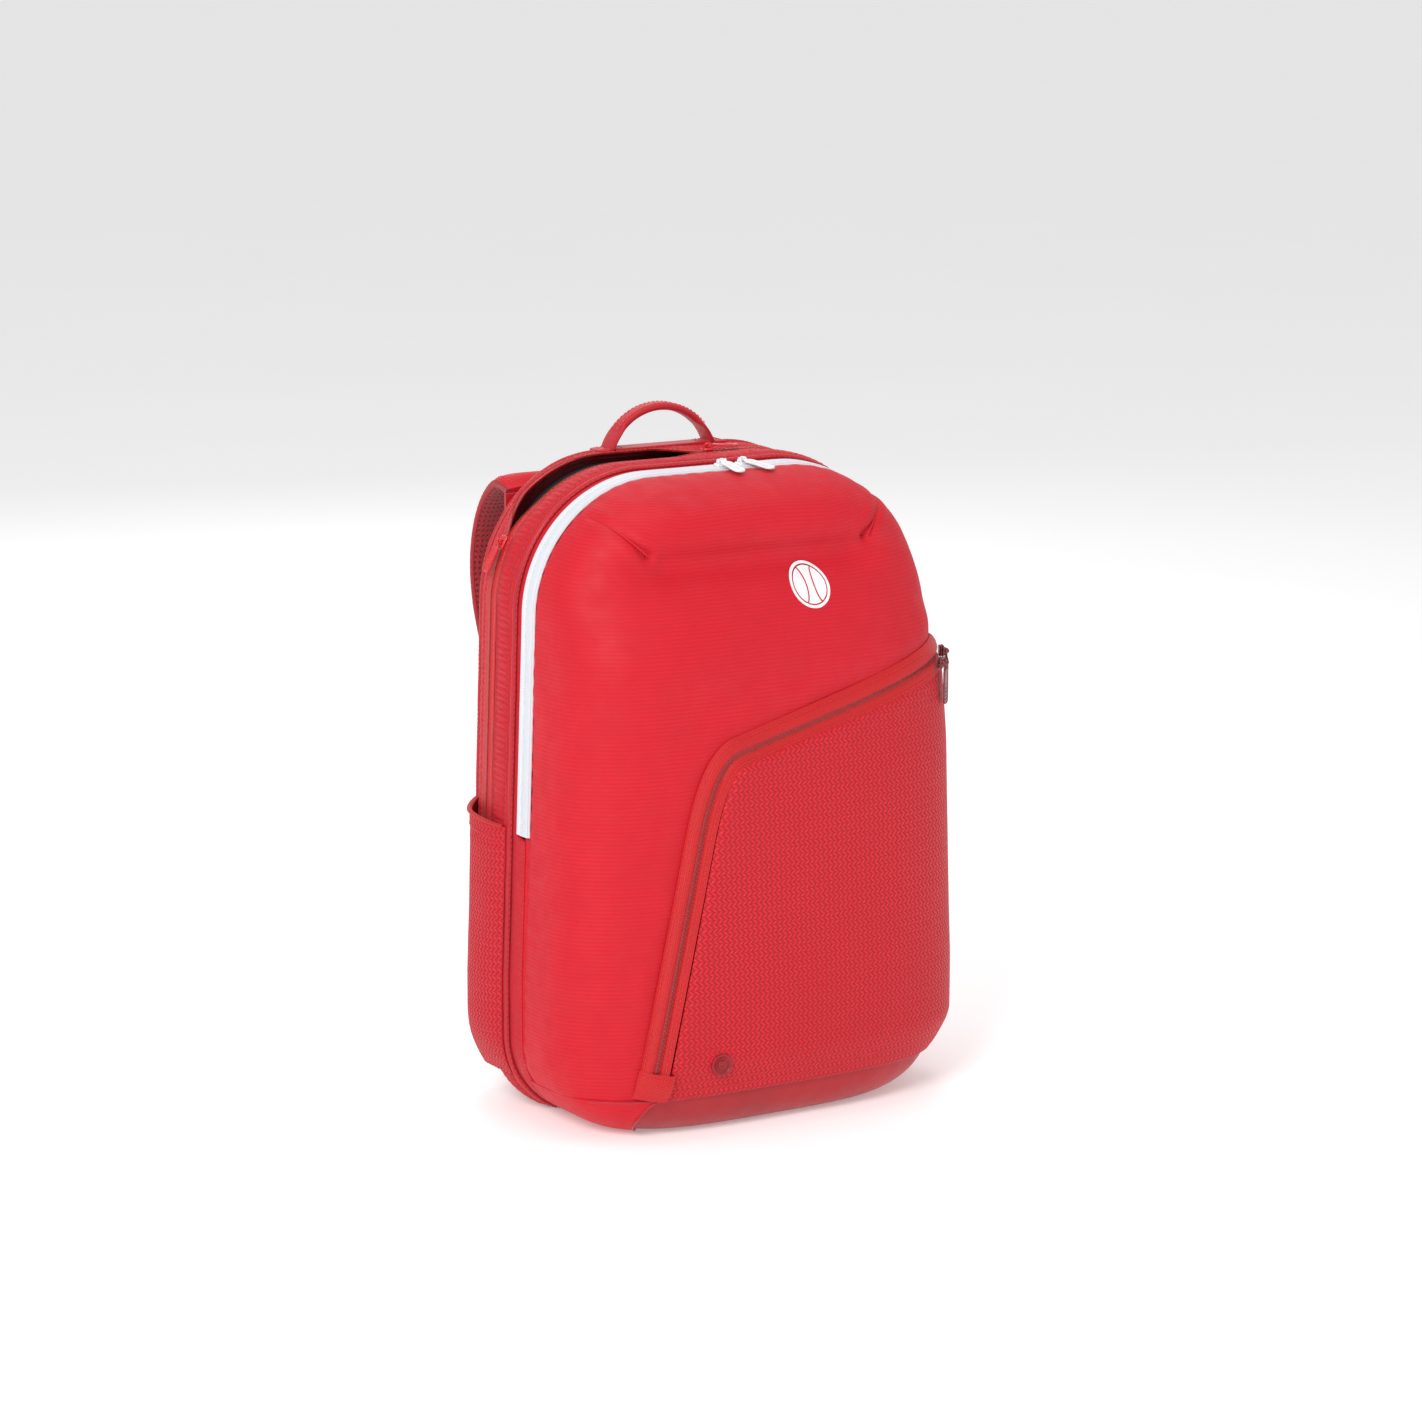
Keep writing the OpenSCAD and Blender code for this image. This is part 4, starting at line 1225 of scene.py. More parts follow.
def build_back():
    """The back panel, its pads and its binding."""
    foot = low("back_panel", Z) + 0.4
    top = high("back_panel", Z) - 0.3
    face = high("back_panel", Y)
    grow = high("back_panel", X) - HIP_W - 0.3
    zs = np.concatenate([np.linspace(foot, CORNER_Z, 110)[:-1],
                         CORNER_Z + (top - CORNER_Z) * np.sin(np.radians(np.linspace(0, 90, 60)))])
    us = np.linspace(-1, 1, 120)
    width = outline_width(zs, grow)[:, None] * narrow(face)
    grid = np.stack([us[None, :] * width, np.full((len(zs), len(us)), face),
                     np.repeat(zs[:, None], len(us), 1)], -1)
    rim = np.minimum((1 - np.abs(us[None, :])) * width,
                     np.minimum(top - zs, zs - foot + 6)[:, None])
    relief = -2.6 * (1 - smooth(rim / 7)) + 0.9 * noise_field(grid, 60, 71)
    relief = relief - 1.6 * np.exp(-(np.abs(grid[..., 0]) / 5.0) ** 2) * smooth((400 - grid[...,
                                                                                            2]) / 40)
    outer = grid[:, ::-1] + np.array([0, 1.0, 0]) * relief[:, ::-1, None]
    obj = sheet_mesh("back_cloth", outer, outer - np.array([0, 2.0, 0]))
    fit(obj, "lining", "inner_fabric", "bag", "back_panel")
    edge = np.array([[x * narrow(face), face - 3.3, z] for x, z, _,
                     _ in arch(grow - 1.4, foot + 1, 1.6)])
    hem = np.stack([np.linspace(edge[-1, 0], edge[0, 0], 90), np.full(90, face - 1.0),
                    np.full(90, foot + 1.0)], 1)
    tube = sweep("back_base_binding", hem, np.tile([0, 1.0, 0], (90, 1)),
                 circle_profile(1.7, 10, 0.8))
    fit(tube, "binding", "base_fabric", "bag")
    cord = sweep("back_binding", edge, np.tile([0, 1.0, 0], (len(edge), 1)),
                 circle_profile(2.1, 12, 1.4))
    fit(cord, "binding", "base_fabric", "bag")
    y0, y1 = low("back_frame_sheet", Y), high("back_frame_sheet", Y)
    board = np.stack([us[None, :] * (width - 5.0), np.full((len(zs), len(us)), y1),
                      np.repeat(foot + (zs[:, None] - foot) * 0.985, len(us), 1)], -1)[::3, ::-3]
    stiffener = sheet_mesh("frame_sheet_board", board, board - np.array([0, y1 - y0, 0]))
    fit(stiffener, "board", "board", "bag", "back_frame_sheet")
    for node, channels in (("back_pad_left", 6), ("back_pad_right", 6), ("lumbar_pad", 2)):
        build_cushion(node, channels)


def build_cushion(node, channels):
    """A stuffed mesh pad with stitched channels, in the place of a CAD pad."""
    x0, x1, z0, z1 = low(node, X), high(node, X), low(node, Z), high(node, Z)
    y0, y1 = low(node, Y), high(node, Y)
    u = np.linspace(-1, 1, 64)[None, :]
    v = np.linspace(-1, 1, 128)[:, None]
    shape = np.abs(u) ** 5 + np.abs(v) ** (10 if z1 - z0 > 150 else 5)
    height = np.maximum(0, 1 - np.minimum(1, shape)) ** 0.42
    pull_in = 1 - 0.06 * np.abs(v) ** 6
    x = (x0 + x1) / 2 + (x1 - x0) / 2 * u * pull_in
    z = (z0 + z1) / 2 + (z1 - z0) / 2 * v * (1 - 0.04 * np.abs(u) ** 6)
    grid = np.stack([x, 0 * x, z + 0 * x], -1)
    phase = (v + 1) / 2 * channels
    groove = np.exp(-(((phase - np.round(phase)) / 0.075) ** 2)) * (np.round(phase) > 0) * (np.round(phase) < channels)
    puff = height * (1 - 0.36 * groove) + 0.03 * noise_field(grid, 25, 81) * height
    grid[..., 1] = y0 + 0.6 + (y1 - y0 - 0.4) * puff
    outer = grid[:, ::-1]
    inner = outer.copy()
    inner[..., 1] = y0 - 0.4
    obj = sheet_mesh(f"{node}_cushion", outer, inner, angle=60)
    fit(obj, "mesh", "mesh", "bag")
    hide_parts(node)
    a = np.linspace(0, 2 * math.pi, 160)
    ring = np.stack([(x0 + x1) / 2 + (x1 - x0) / 2 * 0.985 * np.sign(np.cos(a)) * np.abs(np.cos(a)) ** 0.45,
                     np.full(160, y0 + 0.9),
                     (z0 + z1) / 2 + (z1 - z0) / 2 * 0.99 * np.sign(np.sin(a)) * np.abs(np.sin(a)) ** 0.3], 1)
    piping = sweep(f"{node}_piping", ring, np.tile([0, 1.0, 0], (160, 1)), circle_profile(1.3, 8))
    fit(piping, "binding", "base_fabric", "bag")
    for k in range(1, channels):
        zc = z0 + (z1 - z0) * k / channels
        half = (x1 - x0) / 2 * 0.9
        xs = np.linspace(-half, half, 30)
        depth = y0 + 0.6 + (y1 - y0 - 0.4) * (1 - np.abs(xs / ((x1 - x0) / 2)) ** 5) ** 0.42 * 0.64
        path = np.stack([(x0 + x1) / 2 + xs, depth + 0.2, np.full(30, zc)], 1)
        seam = stitches(f"{node}_stitches_{k}", path, np.tile([0, 1.0, 0], (30, 1)), 3.8, 2.6, 0.6)
        fit(seam, "thread", "mesh", "bag")


STRAP_POINTS = np.array([(114, 178), (114, 210), (115, 240), (119, 264), (127, 283), (137, 304),
                         (149, 328),
                         (158, 352), (161, 380), (155, 408), (141, 431), (121, 445), (103, 441)],
                        float)
STRAP_X = 88.0
STRAP_STEP = 2.2


def strap_curve():
    """Side profile of a strap as points with their outward normals, from its lower end to its seam."""
    p = STRAP_POINTS
    line = []
    for i in range(len(p) - 1):
        a, b, c, d = p[max(0, i - 1)], p[i], p[i + 1], p[min(len(p) - 1, i + 2)]
        for t in np.linspace(0, 1, 16, endpoint=False):
            line.append(0.5 * (2 * b + (c - a) * t + (2 * a - 5 * b + 4 * c - d) * t ** 2
                               + (3 * b - a - 3 * c + d) * t ** 3))
    line.append(p[-1])
    points, _ = resample(np.array(line), STRAP_STEP)
    tangent = unit(np.gradient(points, axis=0))
    return points, np.stack([tangent[:, 1], -tangent[:, 0]], 1)


def strap_side(side, lift, across):
    """Points of a strap: lift off its middle surface, across its width from -1 to 1."""
    points, normals = strap_curve()
    n = len(points)
    share = np.linspace(0, 1, n)
    half = 30.0 - 1.5 * smooth((0.08 - share) / 0.08) - 1.0 * smooth((share - 0.94) / 0.06)
    place = points[:, None] + normals[:, None] * lift[..., None]
    x = side * STRAP_X + half[:, None] * across[None, :]
    return np.stack([x, place[..., 0], place[..., 1]], -1)


def build_strap(side, word):
    """A padded strap with its mesh lining, bindings and stitches."""
    body = f"strap_{word}"
    points, normals = strap_curve()
    n = len(points)
    us = np.linspace(1, -1, 34)
    rim = 1 - np.abs(us[None, :]) ** 4
    ends = smooth(np.minimum(np.arange(n), np.arange(n)[::-1]) / 5)[:, None]
    flat = np.zeros((n, len(us)))
    noise_grid = strap_side(side, flat, us)
    bulge = -0.6 + 5.4 * np.maximum(0,
                                    rim) ** 0.55 * (0.5 + 0.5 * ends) + 0.45 * noise_field(noise_grid, 26, 91 + side)
    lower = -4.1 + 0 * bulge
    outer = strap_side(side, bulge, us)
    shell = sheet_mesh(f"strap_cloth_{word}", outer, strap_side(side, lower, us), angle=50)
    fit(shell, "body", "red_fabric", body)
    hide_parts(f"strap_{word}")
    swell = -4.3 - 2.0 * np.maximum(0, rim) ** 0.6 + 0.25 * noise_field(noise_grid, 18, 95)
    s = np.linspace(0, 1, n)[:, None] * n * STRAP_STEP
    swell = swell + 0.3 * np.sin(2 * math.pi * s / 5.2) * rim
    lining = sheet_mesh(f"strap_mesh_{word}", strap_side(side, -3.9 + 0 * swell, us * 0.98),
                        strap_side(side, swell, us * 0.98), angle=50)
    fit(lining, "mesh", "mesh", body)
    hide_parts(f"strap_lining_{word}")
    for k, edge in enumerate((-1.0, 1.0)):
        rail = strap_side(side, np.full((n, 1), -1.6), np.array([edge * 0.985]))[:, 0]
        out = np.stack([np.zeros(n), normals[:, 0], normals[:, 1]], 1)
        wobble = 0.18 * np.sin(np.arange(n) * 2 * math.pi / 1.7)[:, None]
        bound = sweep(f"strap_binding_{word}_{k + 1}", rail + out * wobble, out,
                      circle_profile(1.5, 10, 1.9))
        fit(bound, "binding", "base_fabric", body)
        inset = strap_side(side, 1.6 + np.full((n, 1), 1.55), np.array([edge * 0.84]))[2:-2, 0]
        seam = stitches(f"strap_stitches_{word}_{k + 1}", inset, out[2:-2], 3.8, 2.7, 0.6)
        fit(seam, "thread", "red_fabric", body)


def webbing_between(name, path, normals, width, thick=1.7):
    """A flat woven strap along a path."""
    profile = [(-width / 2, -thick / 2), (-width / 2 + 0.6, -thick * 0.62),
               (width / 2 - 0.6, -thick * 0.62),
               (width / 2, -thick / 2), (width / 2, thick / 2), (width / 2 - 0.6, thick * 0.62),
               (-width / 2 + 0.6, thick * 0.62), (-width / 2, thick / 2)]
    return sweep(name, path, normals, profile, 40)


def build_strap_webbing(side, word):
    """The adjusting webbing, from the ladder lock down to its anchor on the bag, and the seams round it."""
    x_low, x_high = side * 118.0, side * STRAP_X
    k = np.linspace(0, 1, 60)
    z = 62 + (158 - 62) * k
    x = x_low + (x_high - x_low) * smooth(k * 1.02)
    y = 101.5 + 10.5 * smooth(k / 0.8) + 3.5 * np.sin(np.pi * k)
    path = np.stack([x, y, z], 1)
    out = np.tile([0, 1.0, 0], (60, 1))
    strip = webbing_between(f"strap_webbing_cloth_{word}", path, out, 22)
    dress(strip, "webbing")
    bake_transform(strip)
    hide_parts(f"strap_webbing_{word}")
    for kind, cx, cz, w, h, face in (("anchor", x_low, 62.0, 30.0, 24.0, high("back_panel", Y)),
                                     ("yoke", x_high, 424.0, 66.0, 30.0, high("back_panel", Y))):
        corners = [(cx + w / 2, face + 0.9, cz - h / 2), (cx - w / 2, face + 0.9, cz - h / 2),
                   (cx + w / 2, face + 0.9, cz + h / 2), (cx - w / 2, face + 0.9, cz + h / 2)]
        patch, outer, _ = quad_patch(
            f"strap_{kind}_patch_{word}", corners,
            lambda u, v,
                                     g: 0.9 + 0.8 * np.sin(np.pi * u) ** 0.3 * np.sin(np.pi * v) ** 0.3 + 0.3 * noise_field(g, 14, 5),
            24, 40, 2.2)
        fit(patch, "webbing" if kind == "anchor" else "piping", "webbing", "bag",
            "strap_anchor_" + word if kind == "anchor" else "strap_yoke")
        loop = np.vstack([outer[3, 4:-4], outer[3:-3, -5], outer[-4, 4:-4][::-1],
                          outer[3:-3, 4][::-1]])
        seam = stitches(f"strap_{kind}_stitches_{word}", np.vstack([loop, loop[:1]]),
                        np.tile([0, 1.0, 0], (len(loop) + 1, 1)), 3.4, 2.4, 0.6)
        fit(seam, "light_thread", "webbing", "bag")


def build_strap_buckle(side, word):
    """The webbing through the ladder lock: a loop under the strap and a loose tail."""
    body = f"strap_{word}"
    x = side * STRAP_X

    def strip(name, path_yz, width):
        path = resample(np.array([(x, y, z) for y, z in path_yz], float), 1.5)[0]
        tangent = unit(np.gradient(path, axis=0))
        normals = np.stack([np.zeros(len(path)), tangent[:, 2], -tangent[:, 1]], 1)
        piece = webbing_between(name, path, normals, width, 1.5)
        fit(piece, "webbing", "webbing", body)
        return path, normals

    path, normals = strip(f"strap_loop_{word}",
                          [(117.2, 167.5), (118.0, 173), (119.6, 180), (120.6, 188), (120.8, 200)],
                          30)
    for k, row in enumerate((-3, -6)):
        line = path[row] + normals[row] * 1.1 + np.linspace(-12, 12, 8)[:,
                                                                        None] * np.array([1.0, 0,
                                                                                          0])
        seam = stitches(f"strap_loop_stitches_{word}_{k + 1}", line, np.tile(normals[row], (8, 1)),
                        3.4, 2.4, 0.6)
        fit(seam, "light_thread", "webbing", body)
    tail = [(111.0, 160), (113.5, 162.5), (117.4, 162.0), (118.6, 156), (119.5, 140), (121.5, 118),
            (122.5, 104)]
    strip(f"strap_tail_{word}", tail, 23)


def frame_matrix(origin, *turns):
    """A placing matrix from an origin in millimetres and rotations as (degrees, axis)."""
    m = Matrix.Translation(Vector(origin))
    for angle, axis in turns:
        m = m @ Matrix.Rotation(math.radians(angle), 4, axis)
    return np.array(m)


def placed(points, matrix):
    """Local points moved to their place by a matrix."""
    points = np.asarray(points, float)
    return points @ matrix[:3, :3].T + matrix[:3, 3]


def stadium(w, h, r, count=8):
    """A rounded rectangle as points around the origin, anticlockwise."""
    points = []
    for k, (sx, sy) in enumerate(((1, 1), (-1, 1), (-1, -1), (1, -1))):
        for a in np.radians(np.linspace(90 * k, 90 * (k + 1), count)):
            points.append((sx * (w / 2 - r) + r * math.cos(a), sy * (h / 2 - r) + r * math.sin(a)))
    return np.array(points)


def stacked(name, outline, levels, matrix, centre=(0, 0)):
    """A solid made of copies of an outline: levels are [inset, height] from the bottom to the top."""
    outline = np.asarray(outline, float)
    middle = np.array(centre, float)
    rel = outline - middle
    size = np.abs(rel).max(0)
    rings = []
    for inset, height in levels:
        scale = (size - inset) / size
        rings.append(np.column_stack([rel * scale + middle, np.full(len(outline), height)]))
    faces = ring_faces(len(rings), len(outline))
    return new_object(name, placed(np.vstack(rings), matrix), faces, None, 32)


def rod(name, points, r, matrix, sides=12):
    """A round bar along local points."""
    points = np.asarray(points, float)
    line = resample(points, 0.45)[0]
    tangent = unit(np.gradient(line, axis=0))
    helper = np.array([0.31, 0.52, 0.79])
    normals = unit(np.cross(tangent, helper))
    turn = matrix[:3, :3]
    return sweep(name, placed(line, matrix), normals @ turn.T, circle_profile(r, sides), 60)


def ring_bar(name, radius, r, matrix, centre, plane="yz"):
    """A ring of round bar."""
    a = np.radians(np.linspace(0, 360, 40))
    flat = np.stack([radius * np.cos(a), radius * np.sin(a)], 1)
    zero = np.zeros(len(a))
    points = {"yz": np.stack([zero, flat[:, 0], flat[:, 1]], 1),
              "xy": np.stack([flat[:, 0], flat[:, 1], zero], 1)}[plane] + np.array(centre)
    return rod(name, points, r, matrix)


PIN_H = 4.5


def build_slider(node, size, matrix, material, slot_name):
    """Zip slider: lower and upper wings, a neck between them, and two ears that hold the cross pin."""
    w, d = size
    plate = stadium(w, d, 2.5, 6)
    long_x = w > d
    taper = 1 + 0.10 * (plate[:, 0:1] if long_x else plate[:, 1:2]) / (max(w, d) / 2)
    plate = plate * (taper ** np.array([[0, 1]]) if long_x else taper ** np.array([[1, 0]]))
    parts = [
        stacked(f"{node}_metal", plate,
                [(0.5, 0.9), (0.1, 1.1), (0, 1.4), (0.15, 1.8), (0.6, 2.15), (1.4, 2.3)], matrix),
        stacked("under", plate * 0.94, [(0.5, -0.9), (0, -0.6), (0, -0.3), (0.4, 0.0)], matrix),
        stacked("neck", stadium(2.4, 2.4, 1.0, 4), [(0, -0.4), (0, 1.3)], matrix)]
    for s in (-1, 1):
        x = 2.9 * s
        parts.append(rod("ear",
                         [(x, -1.5, 1.9), (x, -1.5, 3.6), (x, -0.8, 5.3), (x, 0.8, 5.3),
                          (x, 1.5, 3.6), (x, 1.5, 1.9)],
                         0.55, matrix, 10))
        parts.append(rod("boss", [(x - 0.5, 0, PIN_H), (x + 0.5, 0, PIN_H)], 1.35, matrix, 16))
        rail = [(-w / 2 + 1.4, s * (d / 2 - 0.9), 2.2), (w / 2 - 1.4, s * (d / 2 - 0.9), 2.2)]
        if not long_x:
            rail = [(s * (w / 2 - 0.9), -d / 2 + 1.4, 2.2), (s * (w / 2 - 0.9), d / 2 - 1.4, 2.2)]
        parts.append(rod("rail", rail, 0.42, matrix, 8))
    parts.append(rod("pin", [(-2.6, 0, PIN_H), (2.6, 0, PIN_H)], 0.85, matrix, 14))
    obj = join(f"{node}_metal", parts)
    fit(obj, material, slot_name, node, node)


def build_pull(node, length, width, droop, matrix, material, slot_name, grip=False):
    """Zip pull: an eye round the pin, a yoke and a flat tab with a raised rim."""
    m = matrix @ np.array(Matrix.Translation((0, 0, PIN_H)) @ Matrix.Rotation(math.radians(droop),
                                                                              4, "X"))
    mid = -(length + 4) / 2
    h = length - 4
    tab = stadium(width, h, min(width, h) / 2 - 0.6, 8) + np.array([0, mid])
    waist = 1 - 0.10 * np.exp(-((tab[:, 1] - (mid + h * 0.12)) / (h * 0.22)) ** 2)
    tab = tab * np.column_stack([waist, np.ones(len(tab))])
    parts = [
        stacked(f"{node}_tab", tab,
                [(0.9, -0.75), (0.25, -0.7), (0, -0.35), (0, 0.35), (0.25, 0.75), (0.95, 0.85),
                                     (1.35, 0.6), (1.9, 0.5)], m, (0, mid)),
        ring_bar("eye", 1.45, 0.42, m, (-0.75, 0, 0)), ring_bar("eye", 1.45, 0.42, m, (0.75, 0, 0)),
        rod("link", [(-1.1, -1.7, 0.0), (-1.5, -3.2, 0), (-1.7, -5.4, 0)], 0.6, m, 10),
        rod("link", [(1.1, -1.7, 0.0), (1.5, -3.2, 0), (1.7, -5.4, 0)], 0.6, m, 10),
        rod("link", [(-1.4, -2.2, 0), (1.4, -2.2, 0)], 0.5, m, 10)]
    for k in range(4 if grip else 3):
        y = mid - h * 0.06 - k * (h * 0.10)
        parts.append(rod("rib", [(-width * 0.26, y, 0.62), (width * 0.26, y, 0.62)], 0.34, m, 8))
    obj = join(f"{node}_tab", parts)
    fit(obj, material, slot_name, node, node)


def build_zip_metal():
    """All sliders and pulls."""
    for word, x, turn in (("left", 7.0, 0), ("right", 24.0, 20)):
        m = frame_matrix((x, ZIP_Y + 0.1, TOP + 0.6), (turn, "Z"))
        build_slider(f"main_slider_{word}", (11, 8), m, "white_metal", "white_slider")
        build_pull(f"main_pull_{word}", 29, 9, 8, m, "white_metal", "white_slider")
    for word, i, length in (("upper", 0, 38), ("lower", 3, 30)):
        x = POCKET_END_X + 0.5 - 4.5 * i
        z = POCKET_CORNER[1] + (x - POCKET_CORNER[0]) * SLANT - 3
        p = skin(skin_t(x, z), z, 8.8)
        m = frame_matrix(p, (-15.8 - 12 * i, "Z"), (90, "Y"), (90, "Z"))
        build_slider(f"pocket_slider_{word}", (8, 9), m, "dark_metal", "dark_slider")
        build_pull(f"pocket_pull_{word}", length, 8, 0, m, "dark_metal", "dark_slider", True)
    m = frame_matrix((MOUTH_X + 7, RACKET_Y, TOP + RIB_GROW + 0.6), (90, "Z"))
    build_slider("racket_slider_top", (8, 11), m, "red_metal", "red_slider")
    build_pull("racket_pull_top", 24, 9, 4, m, "red_metal", "red_slider")
    a = 152.5
    r = CORNER_R + RIB_GROW + 0.6
    place = (-CORNER_X + r * math.cos(math.radians(a)), RACKET_Y,
             CORNER_Z + r * math.sin(math.radians(a)))
    m = frame_matrix(place, (90 - a, "Y"), (-90, "Z"))
    build_slider("racket_slider_side", (8, 11), m, "red_metal", "red_slider")
    build_pull("racket_pull_side", 24, 9, 0, m, "red_metal", "red_slider")


def build_handle():
    """The grab handle on its patch."""
    top, foot = high("grab_handle", Z), high("grab_handle_anchor", Z) + 0.3
    rise = top - foot
    half = 42.0
    r = (half ** 2 + rise ** 2) / (2 * rise)
    a = np.linspace(-math.asin(half / r), math.asin(half / r), 90)
    share = np.abs(a) / a.max()
    path = np.stack([r * np.sin(a), np.full(len(a), 90.0), top - 1.6 - r + r * np.cos(a)], 1)
    path[:, 2] = np.maximum(path[:, 2], foot - 0.4)
    normals = np.stack([np.sin(a), np.zeros(len(a)), np.cos(a)], 1)
    middle = smooth((0.78 - share) / 0.2)
    n = 16
    ring = []
    for i in range(len(a)):
        width = 20.0 - 6.5 * middle[i]
        thick = 1.5 + 1.7 * middle[i]
        ang = np.linspace(0, 2 * math.pi, n * 2, endpoint=False)
        side = width / 2 * np.sign(np.cos(ang)) * np.abs(np.cos(ang)) ** 0.55
        up = thick * np.sign(np.sin(ang)) * np.abs(np.sin(ang)) ** 0.8 * 0.9
        ring.append(path[i] + np.outer(side, [0, 1.0, 0]) + np.outer(up, normals[i]))
    rings = np.array(ring)
    cols = rings.shape[1]
    faces = [(i * cols + c, (i + 1) * cols + c, (i + 1) * cols + (c + 1) % cols,
              i * cols + (c + 1) % cols)
             for i in range(len(a) - 1) for c in range(cols)]
    faces += [tuple(range(cols)), tuple((len(a) - 1) * cols + c for c in range(cols))[::-1]]
    handle = new_object("grab_handle_webbing", rings.reshape(-1, 3), faces,
                        grid_uv(rings).reshape(-1, 2), 50)
    dress(handle, "webbing")
    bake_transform(handle)
    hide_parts("grab_handle")
    inner = np.abs(a) < a.max() * 0.72
    for k, dy in enumerate((-4.3, 4.3)):
        line = path[inner] + np.array([0, dy, 0]) + normals[inner] * 2.75
        seam = stitches(f"grab_handle_stitches_{k + 1}", line, normals[inner], 3.6, 2.5, 0.6)
        fit(seam, "light_thread", "webbing", "grab_handle")
    z = high("grab_handle_anchor", Z)
    base = low("grab_handle_anchor", Z)
    bar = stacked("grab_handle_patch", stadium(106, 17, 2.5, 6) + np.array([0, 90.0]),
                  [(0.6, base - 1.2), (0, base), (0, z - 0.6), (0.7, z - 0.1), (2.0, z)], np.eye(4),
                  (0, 90.0))
    fit(bar, "webbing", "webbing", "bag", "grab_handle_anchor")
    for k, (x0, x1) in enumerate(((-50, -32), (32, 50))):
        corners = [(x0, 84), (x1, 84), (x1, 96), (x0, 96), (x0, 84), (x1, 96)]
        line = resample(np.array([(x, y, z + 0.15) for x, y in corners], float), 1.0)[0]
        seam = stitches(f"grab_handle_patch_stitches_{k + 1}", line,
                        np.tile([0, 0, 1.0], (len(line), 1)), 3.2, 2.2, 0.55)
        fit(seam, "light_thread", "webbing", "bag")


def build_badge():
    """The round badge on the pocket."""
    x, z = (low("pocket_badge", X) + high("pocket_badge", X)) / 2, (low("pocket_badge",
                                                                        Z) + high("pocket_badge",
                                                                                  Z)) / 2
    y = high("pocket_badge", Y)
    m = frame_matrix((x, y, z), (-6, "Z"), (90, "X"))
    disc = stacked("badge_disc", stadium(16.4, 16.4, 8.15, 14),
                   [(0.3, -1.0), (0, 0.0), (0, 0.7), (0.3, 1.25), (0.9, 1.5), (1.7, 1.45),
                    (2.3, 0.9), (2.9, 0.7)], m)
    parts = [disc,
             stacked("boss", stadium(6.6, 6.6, 3.2, 12),
                     [(0, 0.5), (0, 1.3), (0.3, 1.7), (0.9, 1.9), (1.4, 1.6)], m),
             ring_bar("groove", 5.0, 0.28, m, (0, 0, 0.85), plane="xy")]
    for k in range(8):
        a = 2 * math.pi * k / 8
        parts.append(rod("dot", [(1.1 * math.cos(a), 1.1 * math.sin(a), 1.4),
                                 (1.5 * math.cos(a), 1.5 * math.sin(a), 1.9)], 0.25, m, 8))
    obj = join("badge_disc", parts)
    fit(obj, "badge", "badge", "bag", "pocket_badge")


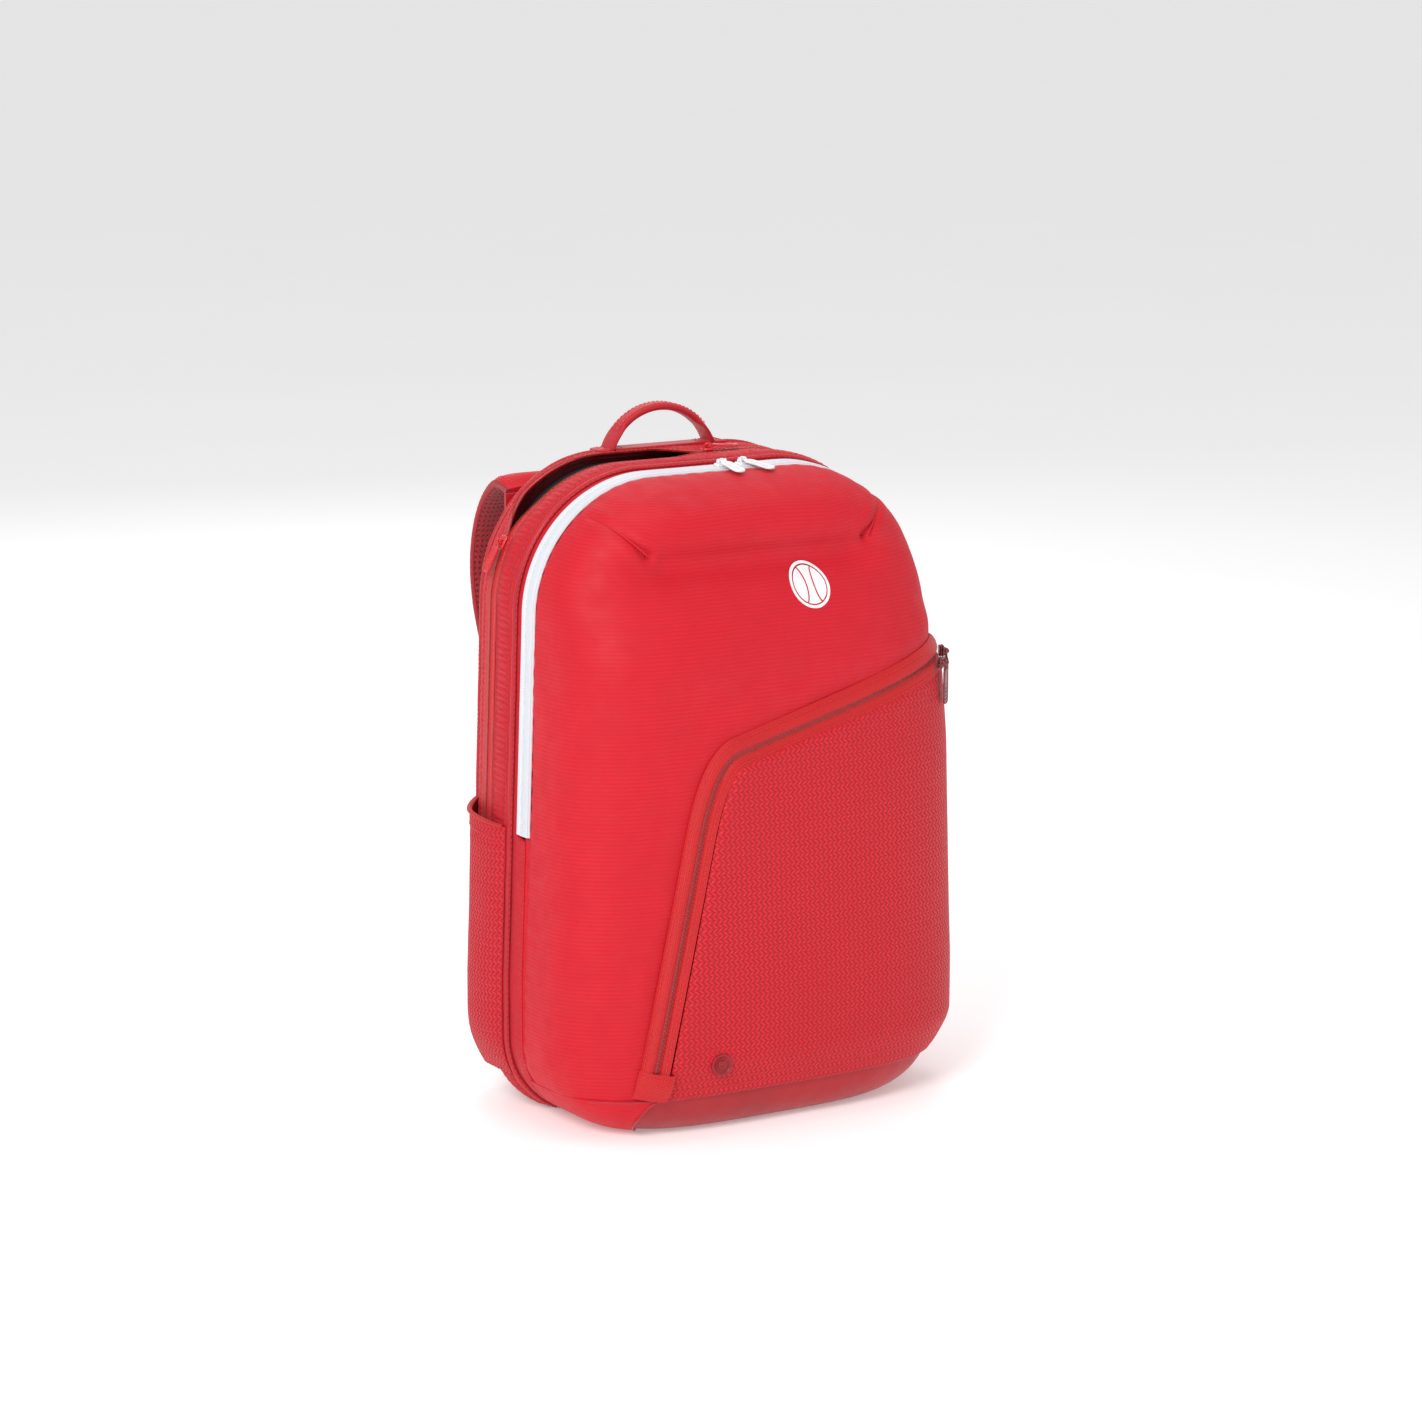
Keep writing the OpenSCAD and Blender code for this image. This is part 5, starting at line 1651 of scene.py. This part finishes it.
def build_corner_wrap():
    """The body cloth that wraps down to the floor at the left front corner, over the base."""
    rows = 26
    zs = np.linspace(1.6, BASE_H + 1.2, rows)
    loops = []
    for z in zs:
        loop = base_loop(z, -0.5, 900)
        edge = -float(half_w(z)) * (0.64 + 0.24 * max(0.0, 1 - z / BASE_H) ** 0.7)
        part = loop[(loop[:, 0] < edge) & (loop[:, 1] < EDGE_Y + 0.5)]
        part = part[np.argsort(np.arctan2(-(part[:, 1] - 20), -part[:, 0]))[::-1]]
        line = resample(np.column_stack([part, np.full(len(part), z)]), 0.5)[0]
        pick = np.linspace(0, len(line) - 1, 60)
        loops.append(np.stack([np.interp(pick, np.arange(len(line)), line[:, k]) for k in range(3)],
                              1))
    grid = np.array(loops)
    normals = grid_normals(grid)
    if (normals[..., 1] * (grid[..., 1] - 40)).mean() < 0:
        grid, normals = grid[:, ::-1], -normals[:, ::-1]
    relief = 0.9 + 0.5 * noise_field(grid, 25, 101)
    outer = grid + normals * relief[..., None]
    obj = sheet_mesh("corner_wrap_cloth", outer, outer - normals * 1.4)
    fit(obj, "body", "red_fabric", "bag")
    edge = outer[:, 0] if outer[:, 0, 0].mean() > outer[:, -1, 0].mean() else outer[:, -1]
    out = normals[:, 0] if outer[:, 0, 0].mean() > outer[:, -1, 0].mean() else normals[:, -1]
    seam = sweep("corner_wrap_seam", edge[1:], out[1:], circle_profile(0.9, 8))
    fit(seam, "piping", "red_fabric", "bag")


def build_mark():
    """A plain printed ball, with two curved seams and no lettering."""
    cx, cz = 34.0, 385.0
    rows, cols = 26, 90
    for k, (inner_r, outer_r) in enumerate(((0.0, 12.6), (13.6, 15.5))):
        radii = np.linspace(max(inner_r, 0.05), outer_r, rows)
        a = np.linspace(0, 2 * math.pi, cols, endpoint=False)
        x = cx + radii[:, None] * np.cos(a)
        z = cz + radii[:, None] * np.sin(a)
        grid = skin(skin_t(x, z), z)
        normal = unit(skin(skin_t(x, z), z, 1.0) - grid)
        off = front_relief(grid) + 0.35
        outer = grid + normal * off[..., None]
        disc = sheet_mesh(f"printed_ball_{k + 1}", outer, outer - normal * 0.25, loop=True)
        fit(disc, "print", "red_fabric", "front_flap")
    for k, side in enumerate((-1, 1)):
        t = np.linspace(-0.92, 0.92, 40)
        z = cz + 12.2 * np.sin(t * 1.35)
        x = cx + side * (12.2 * np.cos(t * 1.35) * 0.35 + 2.2) * -1 + side * 9.5
        line = skin(skin_t(x, z), z)
        normal = unit(skin(skin_t(x, z), z, 1.0) - line)
        line = line + normal * (front_relief(line[None])[0] + 0.45)[:, None]
        seam = sweep(f"printed_ball_seam_{k + 1}", line, normal, circle_profile(0.55, 8, 0.5))
        fit(seam, "body", "red_fabric", "front_flap")


# ---- the whole scene -------------------------------------------------------------------------

build_stage()
build_camera()
build_front_skin()
build_pocket()
build_pocket_zip()
build_garage()
build_gussets()
build_piping()
build_racket_zip()
build_main_zip()
build_base()
build_corner_wrap()
build_back()
for side, word in ((-1, "left"), (1, "right")):
    build_side_pocket(side, word)
    build_strap(side, word)
    build_strap_webbing(side, word)
    build_strap_buckle(side, word)
build_zip_metal()
build_handle()
build_badge()
build_mark()
for node, material in (("base_board", "board"), ("divider_panel", "lining"),
                       ("ladder_lock_left", "buckle"), ("ladder_lock_right", "buckle")):
    part = frame["nodes"][node]
    part.data.materials.clear()
    part.data.materials.append(M[material])
